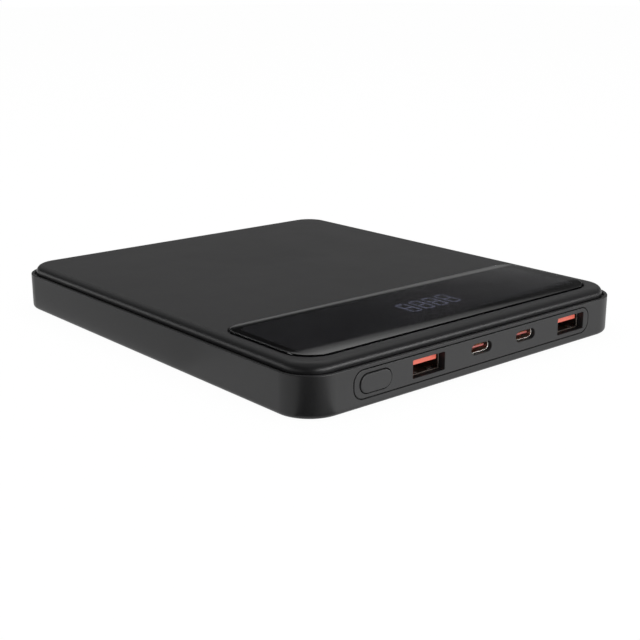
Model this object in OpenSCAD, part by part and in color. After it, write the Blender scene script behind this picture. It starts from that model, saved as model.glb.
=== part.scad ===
// Flat slab power bank with two USB-A and two USB-C sockets, a digit display and one button.
// Millimetres. +Z is up, the sockets face -Y, and the origin is the middle of the bottom face.

/* [Case] */
// Overall width, along the socket side
case_w = 142; // [141.2:0.2:160]
// Overall depth, from the socket side to the back
case_d = 165; // [163.6:0.2:185]
// Height of the side walls
wall_h = 12.9; // [12.6:0.1:16]
// Corner radius seen from above
corner_r = 11.5; // [8:0.5:14]
// Radius of the bottom edge
bottom_round = 1.4; // [0.6:0.1:1.4]
// Thickness of the floor
floor_t = 1.6; // [1.4:0.1:1.7]
// Thickness of the side walls
wall_t = 1.8; // [1.4:0.1:1.9]
// Thickness of the lip at the top of the walls
lip_t = 1.2; // [1:0.1:1.4]
// Depth of the dark groove between the lip and the cover
groove_depth = 0.9; // [0.6:0.1:1]
// Thickness of the ledge that the cover rests on
ledge_t = 1.4; // [1:0.1:1.8]

/* [Top cover] */
// Width of the groove round the cover
groove_w = 0.7; // [0.4:0.1:0.9]
// Height of the cover above the lip
cover_rise = 2.9; // [2.8:0.1:4]
// Radius of the cover's curved edge
cover_round = 2.5; // [1:0.1:2.8]
// Thickness of the top panel
cover_t = 1.8; // [1.6:0.1:2]
// Thickness of the cover's rim wall
rim_t = 2; // [1.6:0.1:2.4]
// How far the rim overlaps the ledge
seat_w = 0.9; // [0.6:0.1:1.1]
// Height of the stiffening ribs under the panel
cover_rib_h = 0.6; // [0.3:0.1:0.8]
// Thickness of the stiffening ribs
cover_rib_t = 1; // [0.8:0.1:1.4]
// Number of stiffening ribs
cover_ribs = 4; // [2:1:6]

/* [Snap hooks] */
// Width of one hook
hook_w = 8; // [5:0.5:12]
// Thickness of one hook
hook_t = 1; // [0.8:0.1:1.2]
// Gap between the hook and the ledge
hook_gap = 0.2; // [0.1:0.05:0.3]
// How far the barb reaches under the ledge
barb_reach = 0.4; // [0.3:0.05:0.5]
// Spacing of the side hooks
side_hook_pitch = 52; // [40:1:60]
// Spacing of the back hooks
back_hook_pitch = 42; // [30:1:50]

/* [Display lens] */
// Distance from the case's sides to the glossy panel
lens_side = 6.4; // [5.7:0.1:16]
// Depth of the glossy panel
lens_d = 39.5; // [36:0.5:48]
// Thickness of the glossy panel
lens_t = 1.35; // [1.2:0.05:1.4]
// How far the panel stands above the cover
lens_proud = 0.5; // [0.3:0.05:0.6]
// Distance from the socket side to the panel's front edge
lens_front = 7.2; // [7:0.1:10]
// Radius of the front corners
lens_front_r = 9; // [6:0.5:12]
// Radius of the back corners
lens_back_r = 6.5; // [3:0.5:8]
// Length of the rolled front edge
lens_roll = 8; // [5:0.5:10]
// Drop of the rolled front edge
lens_drop = 0.4; // [0.2:0.05:0.45]
// Gap round the panel
lens_gap = 0.55; // [0.2:0.05:0.6]
// Thickness of the adhesive frame
tape_t = 0.15; // [0.1:0.05:0.2]
// Width of the adhesive frame
tape_w = 3; // [2:0.5:5]

/* [Display] */
// Sideways place of the digits
display_x = 4.5; // [0:0.5:12]
// Distance of the digits behind the front edge of the glossy panel
display_back = 20.4; // [19:0.2:23]
// Width of the digit block
display_w = 26.4; // [24:0.2:30]
// Depth of the digit block
display_d = 13; // [12.4:0.2:14]
// Gap between the digit block and its window
display_gap = 0.3; // [0.2:0.05:0.4]
// Gap between the digit block and the glossy panel
display_under = 0.45; // [0.3:0.05:0.6]
// Height of one digit
digit_h = 9.6; // [8:0.1:10]
// Width of one digit
digit_w = 4.4; // [3.6:0.1:4.6]
// Spacing of the digits
digit_pitch = 6; // [5.5:0.1:6]
// Width of one light bar
bar_w = 0.8; // [0.6:0.05:1]
// Depth of the light bars
bar_t = 0.5; // [0.3:0.1:0.8]

/* [Port panel] */
// Distance from the case's sides to the inlaid panel
panel_side = 18.1; // [15:0.05:18.2]
// Distance from the top of the walls to the inlaid panel
panel_top_in = 1.45; // [1:0.05:1.5]
// Distance from the bottom to the inlaid panel
panel_low_in = 3; // [2.6:0.05:3]
// Corner radius of the inlaid panel
panel_r = 3.5; // [2:0.1:4.2]
// Thickness of the panel's face plate
plate_t = 1; // [0.8:0.05:1.05]
// Total thickness of the panel
panel_t = 2.3; // [2.1:0.1:2.4]
// Width of the step behind the face plate
panel_step = 0.65; // [0.5:0.05:0.7]
// Gap between the panel's back part and its opening
panel_gap = 0.15; // [0.1:0.05:0.2]
// Open gap round the panel's face plate
panel_rim = 0.35; // [0.15:0.05:0.4]

/* [Button] */
// Width of the button
button_w = 12.2; // [10:0.1:13]
// Height of the button
button_h = 5.8; // [5:0.1:6]
// Distance from the panel's left end to the button's middle
button_in = 8.3; // [8.3:0.05:12]
// How far the button stands proud
button_proud = 0.3; // [0.3:0.05:0.6]
// Gap round the button
button_gap = 0.18; // [0.12:0.02:0.24]
// Thickness of the button's flange
flange_t = 0.8; // [0.6:0.1:0.9]
// How far the flange reaches behind the panel
flange_w = 0.8; // [0.6:0.1:0.85]
// Free play between neighbours in the button's train
play = 0.05; // [0.03:0.01:0.08]

/* [Switch] */
// Width of the switch body
switch_w = 6; // [5:0.5:7]
// Depth of the switch body
switch_d = 3.5; // [3:0.1:4]
// Height of the switch body
switch_h = 4; // [3.4:0.1:4.4]
// Distance that the switch plunger stands out
plunger_out = 1.2; // [1:0.1:1.4]
// Width of the plunger
plunger_w = 3; // [2.4:0.1:3.4]
// Height of the plunger
plunger_h = 1.6; // [1.2:0.1:1.8]
// Height of the plunger's middle above the board
plunger_z = 2; // [1.8:0.1:2.2]
// Travel of the plunger
travel = 0.3; // [0.2:0.05:0.35]

/* [USB-A sockets] */
// Gap between the panel's opening and the shell's sides
a_win_side = 0.15; // [0.05:0.05:0.4]
// How far the panel's opening covers the shell's top and bottom
a_win_lap = 0.05; // [0:0.05:0.25]
// Outer width of the shell
a_shell_w = 13.1; // [12.7:0.1:13.3]
// Outer height of the shell
a_shell_h = 5.7; // [5.6:0.1:5.8]
// Length of the shell
a_shell_l = 14; // [13:0.5:16]
// Distance from the panel's left end to the left socket's middle
a_left_in = 29.8; // [27:0.05:33]
// Distance from the panel's right end to the right socket's middle
a_right_in = 9.2; // [9.2:0.05:12]
// Width of the tongue
a_tongue_w = 11.1; // [10.6:0.1:11.3]
// Thickness of the tongue
a_tongue_t = 1.84; // [1.7:0.02:1.9]
// Height of the tongue's underside above the middle
a_tongue_up = 0.2; // [0.15:0.05:0.3]
// Distance from the shell's front to the tongue's tip
a_tongue_in = 0.2; // [0.1:0.1:1.2]
// Depth of the housing behind the tongue
a_housing_l = 3; // [2:0.5:4]
// Distance of the springs from the socket's middle
spring_x = 3.2; // [2.6:0.1:3.8]
// Distance from the shell's front to the springs' raised tips
spring_in = 1.6; // [1.4:0.1:3]
// Width of one spring
spring_w = 1.8; // [1.2:0.1:2.2]
// Length of the slots beside the springs
spring_l = 5; // [3:0.5:6]

/* [USB-C sockets] */
// Gap between the panel's opening and the shell
c_win_gap = 0.1; // [0.1:0.05:0.4]
// Outer width of the shell
c_shell_w = 8.94; // [8.8:0.02:9.02]
// Outer height of the shell
c_shell_h = 3.16; // [3.06:0.02:3.2]
// Length of the shell
c_shell_l = 8.6; // [8:0.1:9.7]
// Distance from the panel's face to the shell's front
c_shell_in = 1.3; // [0.5:0.1:1.6]
// Height of the sockets' middle above the panel's middle
c_lift = 0.55; // [0:0.05:0.7]
// Spacing of the two sockets, centred between the USB-A sockets
c_pitch = 20.7; // [16:0.1:26]
// Width of the tongue
c_tongue_w = 6.7; // [6.4:0.1:6.8]
// Thickness of the tongue
c_tongue_t = 0.7; // [0.6:0.02:0.76]
// Distance from the shell's front to the tongue's tip
c_tongue_in = 0.9; // [0.7:0.1:1.2]
// Depth of the housing behind the tongue
c_housing_l = 2.4; // [2:0.1:3]
// Spacing of the contacts
c_contact_pitch = 0.5; // [0.45:0.01:0.55]
// Number of contacts on each face of the tongue
c_contacts_n = 12; // [6:1:12]

/* [Socket metal] */
// Thickness of the shells' steel
shell_t = 0.3; // [0.2:0.05:0.35]
// Width of one solder leg
leg_w = 1.4; // [1:0.1:1.8]
// How far the legs pass below the board
leg_below = 0.4; // [0.2:0.1:0.6]
// Gap round the legs in the board
leg_gap = 0.15; // [0.1:0.05:0.2]
// Thickness of the contacts
contact_t = 0.15; // [0.1:0.05:0.2]

/* [Board] */
// Distance from the case's sides to the board
board_side = 12; // [9:0.5:13]
// How far the board reaches behind the digit block
board_tail = 4.1; // [3.7:0.1:6]
// Thickness of the board
board_t = 1.6; // [1.4:0.1:1.7]
// Distance from the socket side to the board
board_in = 4; // [3.9:0.1:4.2]
// Distance of the screws from the board's edges
screw_edge = 3.2; // [3:0.1:3.6]
// Outer radius of the screw bosses
boss_r = 2.4; // [2:0.1:2.8]
// Radius of the screw thread
screw_r = 0.85; // [0.7:0.05:0.9]
// Radius of the screw head
screw_head_r = 1.8; // [1.5:0.1:2]
// Height of the screw head
screw_head_h = 1.1; // [0.8:0.1:1.3]

/* [Board parts] */
// Size of the square power inductors
inductor_w = 9.6; // [8:0.2:10]
// Height of the power inductors
inductor_h = 4; // [3:0.2:5]
// Radius of the can capacitors
cap_r = 2.6; // [2:0.1:2.8]
// Height of the can capacitors
cap_h = 5.6; // [4:0.2:7]
// Size of the square controller chips
chip_w = 5; // [4:0.2:5.4]
// Height of the controller chips
chip_h = 0.9; // [0.7:0.1:1.2]
// Width of the power transistors
fet_w = 4; // [3:0.2:4.2]
// Height of the power transistors
fet_h = 1; // [0.8:0.1:1.2]

/* [Battery] */
// Gap between the cells and the side walls
cell_side = 3.6; // [3:0.1:6]
// Gap between the back cells and the back wall
cell_end = 5; // [4.6:0.1:8]
// Gap between the cells and the cover's ribs
cell_over = 0.7; // [0.3:0.1:2]
// Corner radius of one pouch cell
cell_r = 2; // [1:0.5:3]
// Depth of the flat seal that carries the tabs
seal_d = 5; // [4:0.5:6]
// Thickness of the flat seal
seal_t = 0.3; // [0.2:0.05:0.4]
// Gap between the leads and the cells beside them
lead_gap = 0.2; // [0.1:0.05:0.6]
// Gap between the front and the back cells
row_gap = 1; // [0.6:0.1:1.2]
// Thickness of the foam strips under the cells
pad_t = 0.5; // [0.3:0.1:0.6]
// Width of one foam strip
pad_w = 9; // [6:1:14]
// Distance from the cell's sides to the foam strips' ends
pad_side = 5; // [2:0.5:12]
// Thickness of the rib between the board and the cells
bay_rib_t = 1; // [0.8:0.1:1.2]
// Gap on each side of that rib
bay_gap = 0.5; // [0.3:0.1:0.6]
// Width of one tab
tab_w = 5; // [4:0.5:7]
// Distance of the tabs from the middle of the cell
tab_x = 16; // [12:0.5:20]
// Thickness of the tabs
tab_t = 0.15; // [0.1:0.05:0.2]
// Thickness of the insulating tape
film_t = 0.1; // [0.08:0.02:0.14]
// Thickness of the nickel links
link_t = 0.15; // [0.1:0.05:0.2]
// Width of the nickel links
link_w = 3; // [2:0.5:4]
// Radius of the two leads
lead_r = 0.95; // [0.7:0.05:1]
// Bend radius of the leads
lead_bend = 2.6; // [2:0.2:4]
// Length of the leads' ends on the board
lead_land = 3; // [2:0.2:3.4]

/* [Hidden] */
$fn = 64;
e = 0.02;                       // overlap that joins the pieces of one solid
front = -case_d / 2;            // plane of the socket side
ledge_in = lip_t + groove_w + seat_w;
seat_z = wall_h - groove_depth; // the cover rests here
cover_in = lip_t + groove_w;
cover_w = case_w - 2 * cover_in;
cover_d = case_d - 2 * cover_in;
cover_r = corner_r - cover_in;
top_z = wall_h + cover_rise;
cover_h = top_z - seat_z;
under_z = top_z - cover_t;      // underside of the top panel
lens_top = top_z + lens_proud;
lens_bot = lens_top - lens_t;
pocket_z = lens_bot - tape_t;
lens_w = case_w - 2 * lens_side;
lens_y0 = front + lens_front;
display_y = lens_y0 + display_back;
display_top = lens_bot - display_under;
panel_w = case_w - 2 * panel_side;
panel_h = wall_h - panel_top_in - panel_low_in;
panel_z = panel_low_in + panel_h / 2;
spigot_w = panel_w - 2 * panel_step;
spigot_h = panel_h - 2 * panel_step;
spigot_r = panel_r - panel_step;
panel_back = front + panel_t;
button_x = -panel_w / 2 + button_in;
a_win_w = a_shell_w + 2 * a_win_side;
a_win_h = a_shell_h - 2 * a_win_lap;
c_win_w = c_shell_w + 2 * c_win_gap;
c_win_h = c_shell_h + 2 * c_win_gap;
button_z = panel_z;
a_z = panel_z;
a_left_x = -panel_w / 2 + a_left_in;
a_right_x = panel_w / 2 - a_right_in;
c_z = panel_z + c_lift;
c_left_x = (a_left_x + a_right_x - c_pitch) / 2;
c_right_x = c_left_x + c_pitch;
board_top = a_z - a_shell_h / 2;
board_bot = board_top - board_t;
board_y0 = front + board_in;
board_y1 = display_y + display_d / 2 + board_tail;
board_w = case_w - 2 * board_side;
board_d = board_y1 - board_y0;
screw_x = board_w / 2 - screw_edge;
a_shell_y = panel_back + play * 2;
c_shell_y = front + c_shell_in;
flange_y = panel_back + play;
switch_y = board_y0 + 1.1;
plunger_y = switch_y - plunger_out;
cell_y0 = board_y1 + bay_rib_t + 2 * bay_gap;
lead_x = lead_r + 0.1;
cell_gap = 2 * (lead_x + lead_r + lead_gap);
cell_w = (case_w - cell_gap) / 2 - wall_t - cell_side;
cell_d = (case_d / 2 - wall_t - cell_end - cell_y0 - row_gap) / 2;
cell_z = floor_t + pad_t;
cell_t = under_z - cover_rib_h - cell_over - cell_z;
row2_y0 = cell_y0 + cell_d + row_gap;
cell_x = (cell_w + cell_gap) / 2;
tab_top = board_top;            // the tabs are as high as the board, so the leads lie flat
tab_z = tab_top - tab_t;
film_z = tab_z - film_t;
seal_z = film_z - seal_t;
lead_z = tab_top + lead_r;
lead_y = cell_y0 + cell_d - seal_d / 2;
bay_rib_h = tab_top - 0.2 - floor_t;
hook_in = ledge_in + hook_gap;
hook_x = [-1, 0, 1];

// ---- outlines and sweeps that several pieces share ----

// rectangle with round corners, centred
module rrect(w, d, r) {
    square([w - 2 * r, d], center = true);
    square([w, d - 2 * r], center = true);
    for (x = [-1, 1], y = [-1, 1]) translate([x * (w / 2 - r), y * (d / 2 - r)]) circle(r);
}

// pill with its long side along the first axis
module pill(w, h) {
    square([w - h, h], center = true);
    for (x = [-1, 1]) translate([x * (w - h) / 2, 0]) circle(h / 2);
}

// sweeps an outline drawn in X and Z from y0 to y1
module along_y(y0, y1) {
    translate([0, y1, 0]) rotate([90, 0, 0]) linear_extrude(y1 - y0) children();
}

// cross-section of a slab's edge: 0 is the start of the corner radius, r is the outer face
module edge_section(r, h, low, high) {
    difference() {
        square([r, h]);
        if (low > 0) translate([r - low, 0]) difference() {
            square(low);
            translate([0, low]) circle(low);
        }
        if (high > 0) translate([r - high, h - high]) difference() {
            square(high);
            circle(high);
        }
    }
}

// rounded slab whose bottom edge has radius low and top edge radius high
module slab(w, d, r, h, low, high) {
    cw = w - 2 * r;
    cd = d - 2 * r;
    translate([-cw / 2, -cd / 2, 0]) cube([cw, cd, h]);
    for (s = [0, 1]) rotate(180 * s) {
        translate([cw / 2, cd / 2, 0]) rotate([90, 0, 0]) linear_extrude(cd) edge_section(r, h, low, high);
        translate([-cw / 2, cd / 2, 0]) rotate([90, 0, 90]) linear_extrude(cw) edge_section(r, h, low, high);
        translate([cw / 2, cd / 2, 0]) rotate_extrude(angle = 90) edge_section(r, h, low, high);
        translate([-cw / 2, cd / 2, 0]) rotate(90) rotate_extrude(angle = 90) edge_section(r, h, low, high);
    }
}

// puts children, drawn with +X pointing inwards, on the left (0), right (1) or back (2) wall
module on_wall(s, p) {
    if (s == 0) translate([-case_w / 2, p, 0]) children();
    if (s == 1) translate([case_w / 2, p, 0]) rotate(180) children();
    if (s == 2) translate([p, case_d / 2, 0]) rotate(-90) children();
}

module at_screws() {
    for (x = [-1, 1], y = [board_y0 + screw_edge, board_y1 - screw_edge])
        translate([x * screw_x, y, 0]) children();
}

// outline of the glossy panel, grown by g
module lens_outline(g) {
    w = lens_w + 2 * g;
    d = lens_d + 2 * g;
    f = lens_front_r + g;
    b = lens_back_r + g;
    translate([0, lens_y0 + lens_d / 2]) {
        translate([-w / 2, -d / 2 + f]) square([w, d - f - b]);
        translate([-w / 2 + f, -d / 2]) square([w - 2 * f, d / 2]);
        translate([-w / 2 + b, 0]) square([w - 2 * b, d / 2]);
        for (x = [-1, 1]) {
            translate([x * (w / 2 - f), -d / 2 + f]) circle(f);
            translate([x * (w / 2 - b), d / 2 - b]) circle(b);
        }
    }
}

// ---- housing ----

module case_tray() color("#2c2c2d") difference() {
    union() {
        difference() {
            slab(case_w, case_d, corner_r, wall_h, bottom_round, 0);
            translate([0, 0, floor_t]) linear_extrude(seat_z - ledge_t - floor_t)
                rrect(case_w - 2 * wall_t, case_d - 2 * wall_t, corner_r - wall_t);
            translate([0, 0, seat_z - ledge_t - e]) linear_extrude(ledge_t + 2 * e)
                rrect(case_w - 2 * ledge_in, case_d - 2 * ledge_in, corner_r - ledge_in);
            translate([0, 0, seat_z]) linear_extrude(groove_depth + 1)
                rrect(case_w - 2 * lip_t, case_d - 2 * lip_t, corner_r - lip_t);
        }
        // thicker wall behind the port panel
        translate([-panel_w / 2 - 2, front + plate_t, floor_t - e])
            cube([panel_w + 4, panel_t - plate_t, seat_z - ledge_t - floor_t + 2 * e]);
        // screw bosses
        at_screws() translate([0, 0, floor_t - e]) cylinder(r = boss_r, h = board_bot - floor_t + e);
        // rib between the board and the cells
        translate([-case_w / 2 + wall_t - e, board_y1 + bay_gap, floor_t - e])
            cube([case_w - 2 * wall_t + 2 * e, bay_rib_t, bay_rib_h + e]);
    }
    at_screws() translate([0, 0, floor_t - 0.6]) cylinder(r = screw_r + 0.05, h = board_bot);
    translate([0, 0, panel_z]) {
        along_y(front - 1, front + plate_t)
            rrect(panel_w + 2 * panel_rim, panel_h + 2 * panel_rim, panel_r + panel_rim);
        along_y(front, front + ledge_in + 0.1)
            rrect(spigot_w + 2 * panel_gap, spigot_h + 2 * panel_gap, spigot_r + panel_gap);
    }
}

module snap_hook() {
    z0 = seat_z - ledge_t;
    rotate([90, 0, 0]) translate([0, 0, -hook_w / 2]) linear_extrude(hook_w) polygon([
        [hook_in, seat_z + 1], [hook_in, z0 - 0.15], [hook_in - hook_gap - barb_reach, z0 - 0.15],
        [hook_in - hook_gap - barb_reach, z0 - 0.45], [hook_in, z0 - 1.1],
        [hook_in + hook_t, z0 - 1.1], [hook_in + hook_t, seat_z + 1]]);
}

module top_cover() color("#29292a") {
    difference() {
        translate([0, 0, seat_z]) slab(cover_w, cover_d, cover_r, cover_h, 0, cover_round);
        translate([0, 0, seat_z - 1]) linear_extrude(under_z - seat_z + 1)
            rrect(cover_w - 2 * rim_t, cover_d - 2 * rim_t, cover_r - rim_t);
        translate([0, 0, pocket_z]) linear_extrude(5) lens_outline(lens_gap);
        translate([display_x, display_y, under_z - 1]) linear_extrude(cover_t + 1)
            square([display_w + 2 * display_gap, display_d + 2 * display_gap], center = true);
    }
    for (s = [0, 1], i = hook_x) on_wall(s, i * side_hook_pitch) snap_hook();
    for (i = hook_x) on_wall(2, i * back_hook_pitch) snap_hook();
    // ribs across the cells
    for (i = [0 : cover_ribs - 1])
        translate([-cover_w / 2 + rim_t - e, cell_y0 + (i + 0.5) * 2 * cell_d / cover_ribs, under_z - cover_rib_h])
            cube([cover_w - 2 * rim_t + 2 * e, cover_rib_t, cover_rib_h + e]);
}

module display_lens() color("#141415") intersection() {
    translate([0, 0, lens_bot]) linear_extrude(lens_t) lens_outline(0);
    // section along Y whose front is an arc that drops by lens_drop over lens_roll
    rotate([90, 0, 90]) translate([0, 0, -lens_w]) linear_extrude(2 * lens_w) {
        r = (lens_roll * lens_roll + lens_drop * lens_drop) / (2 * lens_drop);
        y1 = lens_y0 + lens_roll;
        translate([y1, lens_bot - 1]) square([lens_d, lens_t + 1]);
        intersection() {
            translate([y1, lens_top - r]) circle(r, $fn = 256);
            translate([lens_y0 - 1, lens_bot - 1]) square([lens_roll + 1, lens_t + 1]);
        }
    }
}

module lens_tape() color("#3a3a3c") translate([0, 0, pocket_z]) linear_extrude(tape_t) difference() {
    lens_outline(-0.4);
    lens_outline(-0.4 - tape_w);
}

// ---- display ----

// the seven light bars of one digit
module digit_bars() {
    h = digit_h / 2;
    gap = 0.18;
    for (y = [-1, 0, 1])
        translate([0, y * (h - bar_w / 2)]) square([digit_w - 2 * bar_w - gap, bar_w], center = true);
    for (x = [-1, 1], y = [-1, 1])
        translate([x * (digit_w - bar_w) / 2, y * (h - bar_w / 2) / 2])
            square([bar_w, h - bar_w / 2 - gap], center = true);
}

module all_digits() {
    for (i = [0 : 3]) translate([display_x + (i - 1.5) * digit_pitch, display_y]) digit_bars();
}

module display_module() color("#1c1c1e") difference() {
    translate([display_x - display_w / 2, display_y - display_d / 2, board_top])
        cube([display_w, display_d, display_top - board_top]);
    translate([0, 0, display_top - bar_t]) linear_extrude(bar_t + 1) all_digits();
}

module display_segments() color("#8d8ba8") translate([0, 0, display_top - bar_t]) linear_extrude(bar_t)
    all_digits();

// ---- port side ----

module port_windows() {
    for (x = [a_left_x, a_right_x]) translate([x, a_z]) rrect(a_win_w, a_win_h, 0.4);
    for (x = [c_left_x, c_right_x]) translate([x, c_z]) pill(c_win_w, c_win_h);
    translate([button_x, button_z]) pill(button_w + 2 * button_gap, button_h + 2 * button_gap);
}

module port_panel() color("#343435") difference() {
    translate([0, 0, panel_z]) {
        along_y(front, front + plate_t) rrect(panel_w, panel_h, panel_r);
        along_y(front + plate_t - e, panel_back) rrect(spigot_w, spigot_h, spigot_r);
    }
    along_y(front - 1, panel_back + 1) port_windows();
}

module power_button() color("#333334") translate([button_x, 0, 0]) {
    translate([0, 0, button_z]) {
        along_y(front - button_proud, flange_y + e) pill(button_w, button_h);
        along_y(flange_y, flange_y + flange_t) pill(button_w + 2 * flange_w, button_h + 2 * flange_w);
    }
    // post that pushes the switch
    along_y(flange_y + flange_t - e, plunger_y - play)
        translate([0, board_top + plunger_z]) square([plunger_w, plunger_h], center = true);
}

module switch_body() color("#b9b9b4") difference() {
    translate([button_x - switch_w / 2, switch_y, board_top]) cube([switch_w, switch_d, switch_h]);
    along_y(switch_y - 1, switch_y + switch_d - 1.2) translate([button_x, board_top + plunger_z])
        square([plunger_w + 0.2, plunger_h + 0.2], center = true);
}

module switch_plunger() color("#26262a") along_y(plunger_y, switch_y + switch_d - 1.2 - travel - play)
    translate([button_x, board_top + plunger_z]) square([plunger_w, plunger_h], center = true);

// ---- sockets: every one is drawn at x = 0 ----

a_leg_y = [3, 9.5];

module a_legs(g) {
    for (x = [-1, 1], y = a_leg_y)
        translate([x * (a_shell_w / 2 - shell_t / 2), a_shell_y + y, board_bot - leg_below])
            linear_extrude(board_t + leg_below + shell_t + g)
                square([shell_t + 2 * g, leg_w + 2 * g], center = true);
}

module a_shell() color("#a9a9a6") {
    difference() {
        translate([0, 0, a_z]) along_y(a_shell_y, a_shell_y + a_shell_l) difference() {
            rrect(a_shell_w, a_shell_h, 0.5);
            rrect(a_shell_w - 2 * shell_t, a_shell_h - 2 * shell_t, 0.5 - shell_t / 2);
        }
        // slots beside the springs in the top and the bottom
        for (x = [-1, 1], y = [-1, 1])
            translate([x * spring_x + y * (spring_w + 0.4) / 2, a_shell_y + spring_in - 0.5 + spring_l / 2,
                a_z - a_shell_h / 2 - 1])
                linear_extrude(a_shell_h + 2) square([0.3, spring_l], center = true);
    }
    // raised tips of the bottom springs
    intersection() {
        for (x = [-1, 1])
            translate([x * spring_x - spring_w / 2, a_shell_y + spring_in, a_z - a_shell_h / 2 - 0.3])
                rotate([0, 90, 0]) cylinder(r = 1.1, h = spring_w);
        translate([-a_shell_w / 2, a_shell_y, a_z - a_shell_h / 2 + shell_t / 2])
            cube([a_shell_w, a_shell_l, 2]);
    }
    a_legs(0);
}

module a_tongue() color("#e8604a") {
    b = a_shell_y + a_shell_l;
    translate([0, 0, a_z]) {
        along_y(b - a_housing_l, b) rrect(a_shell_w - 2 * shell_t, a_shell_h - 2 * shell_t, 0.35);
        along_y(a_shell_y + a_tongue_in, b - a_housing_l + e)
            translate([0, a_tongue_up + a_tongue_t / 2]) square([a_tongue_w, a_tongue_t], center = true);
    }
}

module a_contacts() color("#c9a24a") for (x = [-3.5, -1, 1, 3.5])
    translate([x - 0.5, a_shell_y + a_tongue_in + 0.8, a_z + a_tongue_up - contact_t])
        cube([1, a_shell_l - a_housing_l - a_tongue_in - 0.9, contact_t]);

c_leg_y = [1.4, 4.6];

module c_legs(g) {
    for (x = [-1, 1], y = c_leg_y)
        translate([x * (c_shell_w / 2 - shell_t / 2), board_y0 + y, board_bot - leg_below])
            linear_extrude(c_z - board_bot + leg_below + g)
                square([shell_t + 2 * g, leg_w * 0.7 + 2 * g], center = true);
}

module c_shell() color("#b3b3b0") {
    translate([0, 0, c_z]) along_y(c_shell_y, c_shell_y + c_shell_l) difference() {
        pill(c_shell_w, c_shell_h);
        pill(c_shell_w - 2 * shell_t, c_shell_h - 2 * shell_t);
    }
    c_legs(0);
}

module c_tongue() color("#d9573f") {
    b = c_shell_y + c_shell_l;
    translate([0, 0, c_z]) {
        along_y(b - c_housing_l, b) pill(c_shell_w - 2 * shell_t, c_shell_h - 2 * shell_t);
        along_y(c_shell_y + c_tongue_in, b - c_housing_l + e)
            square([c_tongue_w, c_tongue_t], center = true);
        // block behind the shell that stands on the board and carries it
        along_y(b, b + 1.2) square([c_shell_w - 1, c_shell_h], center = true);
    }
    translate([-c_shell_w / 2 + shell_t + 0.3, board_y0 + 0.3, board_top])
        cube([c_shell_w - 2 * shell_t - 0.6, b + 1.2 - board_y0 - 0.3, c_z - c_shell_h / 2 - board_top]);
}

module c_contacts() color("#c9a24a") for (z = [-1, 1], i = [0 : c_contacts_n - 1])
    translate([(i - (c_contacts_n - 1) / 2) * c_contact_pitch - 0.13, c_shell_y + c_tongue_in + 0.4,
        c_z + z * (c_tongue_t + 0.08) / 2 - 0.04])
        cube([0.26, c_shell_l - c_housing_l - c_tongue_in - 0.5, 0.08]);

// ---- board and its parts ----

module main_board() color("#1f5a3a") difference() {
    translate([0, 0, board_bot]) linear_extrude(board_t) difference() {
        translate([-board_w / 2, board_y0]) square([board_w, board_d]);
        at_screws() circle(screw_r + 0.3);
    }
    for (x = [a_left_x, a_right_x]) translate([x, 0, 0]) a_legs(leg_gap);
    for (x = [c_left_x, c_right_x]) translate([x, 0, 0]) c_legs(leg_gap);
}

module board_screws() color("#c4c6c8") at_screws() {
    translate([0, 0, board_top]) difference() {
        cylinder(r = screw_head_r, h = screw_head_h);
        translate([0, 0, screw_head_h - 0.6]) for (a = [0, 90]) rotate(a) cube([2, 0.5, 2], center = true);
    }
    translate([0, 0, floor_t - 0.3]) cylinder(r = screw_r, h = board_top - floor_t + 0.3 + e);
}

// Parts on the board as [side, a, b]. On side -1 or 1, a is measured in from that end of the board, and on
// side 0 it is the place along X. b is measured from the front edge, or from the back edge if it is negative.
inductor_at = [[-1, 11, -12], [-1, 26, -12], [1, 25, -12], [1, 10, -12]];
cap_x = display_x - display_w / 2 - cap_r - 1.2;
cap_at = [[0, cap_x - 6.5, 21], [0, cap_x, 21], [0, cap_x - 6.5, 29], [0, cap_x, 29], [0, 26, 14.5], [1, 5, 14.8]];
fet_at = [[-1, 7, 11.5], [-1, 13, 11.5], [-1, 13, -3.4], [-1, 19, -3.4], [-1, 25, -3.4], [1, 19, -3.4], [1, 13, -3.4]];
chip_at = [[-1, 25, 12], [0, 12, 12.6], [1, 28, -3.4]];

module on_board(p) {
    x = p[0] == 0 ? p[1] : p[0] * (board_w / 2 - p[1]);
    translate([x, (p[2] < 0 ? board_y1 : board_y0) + p[2], board_top]) children();
}

module controller_chips() color("#1b1b1d") for (p = chip_at) on_board(p)
    translate([-chip_w / 2, -chip_w / 2, 0]) cube([chip_w, chip_w, chip_h]);

module power_transistors() color("#222225") for (p = fet_at) on_board(p)
    translate([-fet_w / 2, -fet_w / 2, 0]) cube([fet_w, fet_w, fet_h]);

module power_inductors() color("#4b4b50") for (p = inductor_at) on_board(p)
    linear_extrude(inductor_h) rrect(inductor_w, inductor_w, 1.4);

module capacitors() color("#b8babd") for (p = cap_at) on_board(p) cylinder(r = cap_r, h = cap_h);

// ---- battery ----

// a pouch cell with its flat seal towards +Y; its near edge is on the X axis
module pouch_cell() {
    translate([0, (cell_d - seal_d) / 2, cell_z]) linear_extrude(cell_t) rrect(cell_w, cell_d - seal_d, cell_r);
    translate([-cell_w / 2 + cell_r, cell_d - seal_d - e, seal_z])
        cube([cell_w - 2 * cell_r, seal_d + e, seal_t]);
}

// places children in the front (0) or back (1) row, with the two rows' seals face to face
module at_cell(side, row) {
    if (row == 0) translate([side * cell_x, cell_y0, 0]) children();
    if (row == 1) translate([side * cell_x, row2_y0 + cell_d, 0]) mirror([0, 1, 0]) children();
}

module cell_front_left() color("#9da3a8") at_cell(-1, 0) pouch_cell();
module cell_front_right() color("#9da3a8") at_cell(1, 0) pouch_cell();
module cell_back_left() color("#9da3a8") at_cell(-1, 1) pouch_cell();
module cell_back_right() color("#9da3a8") at_cell(1, 1) pouch_cell();

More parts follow.
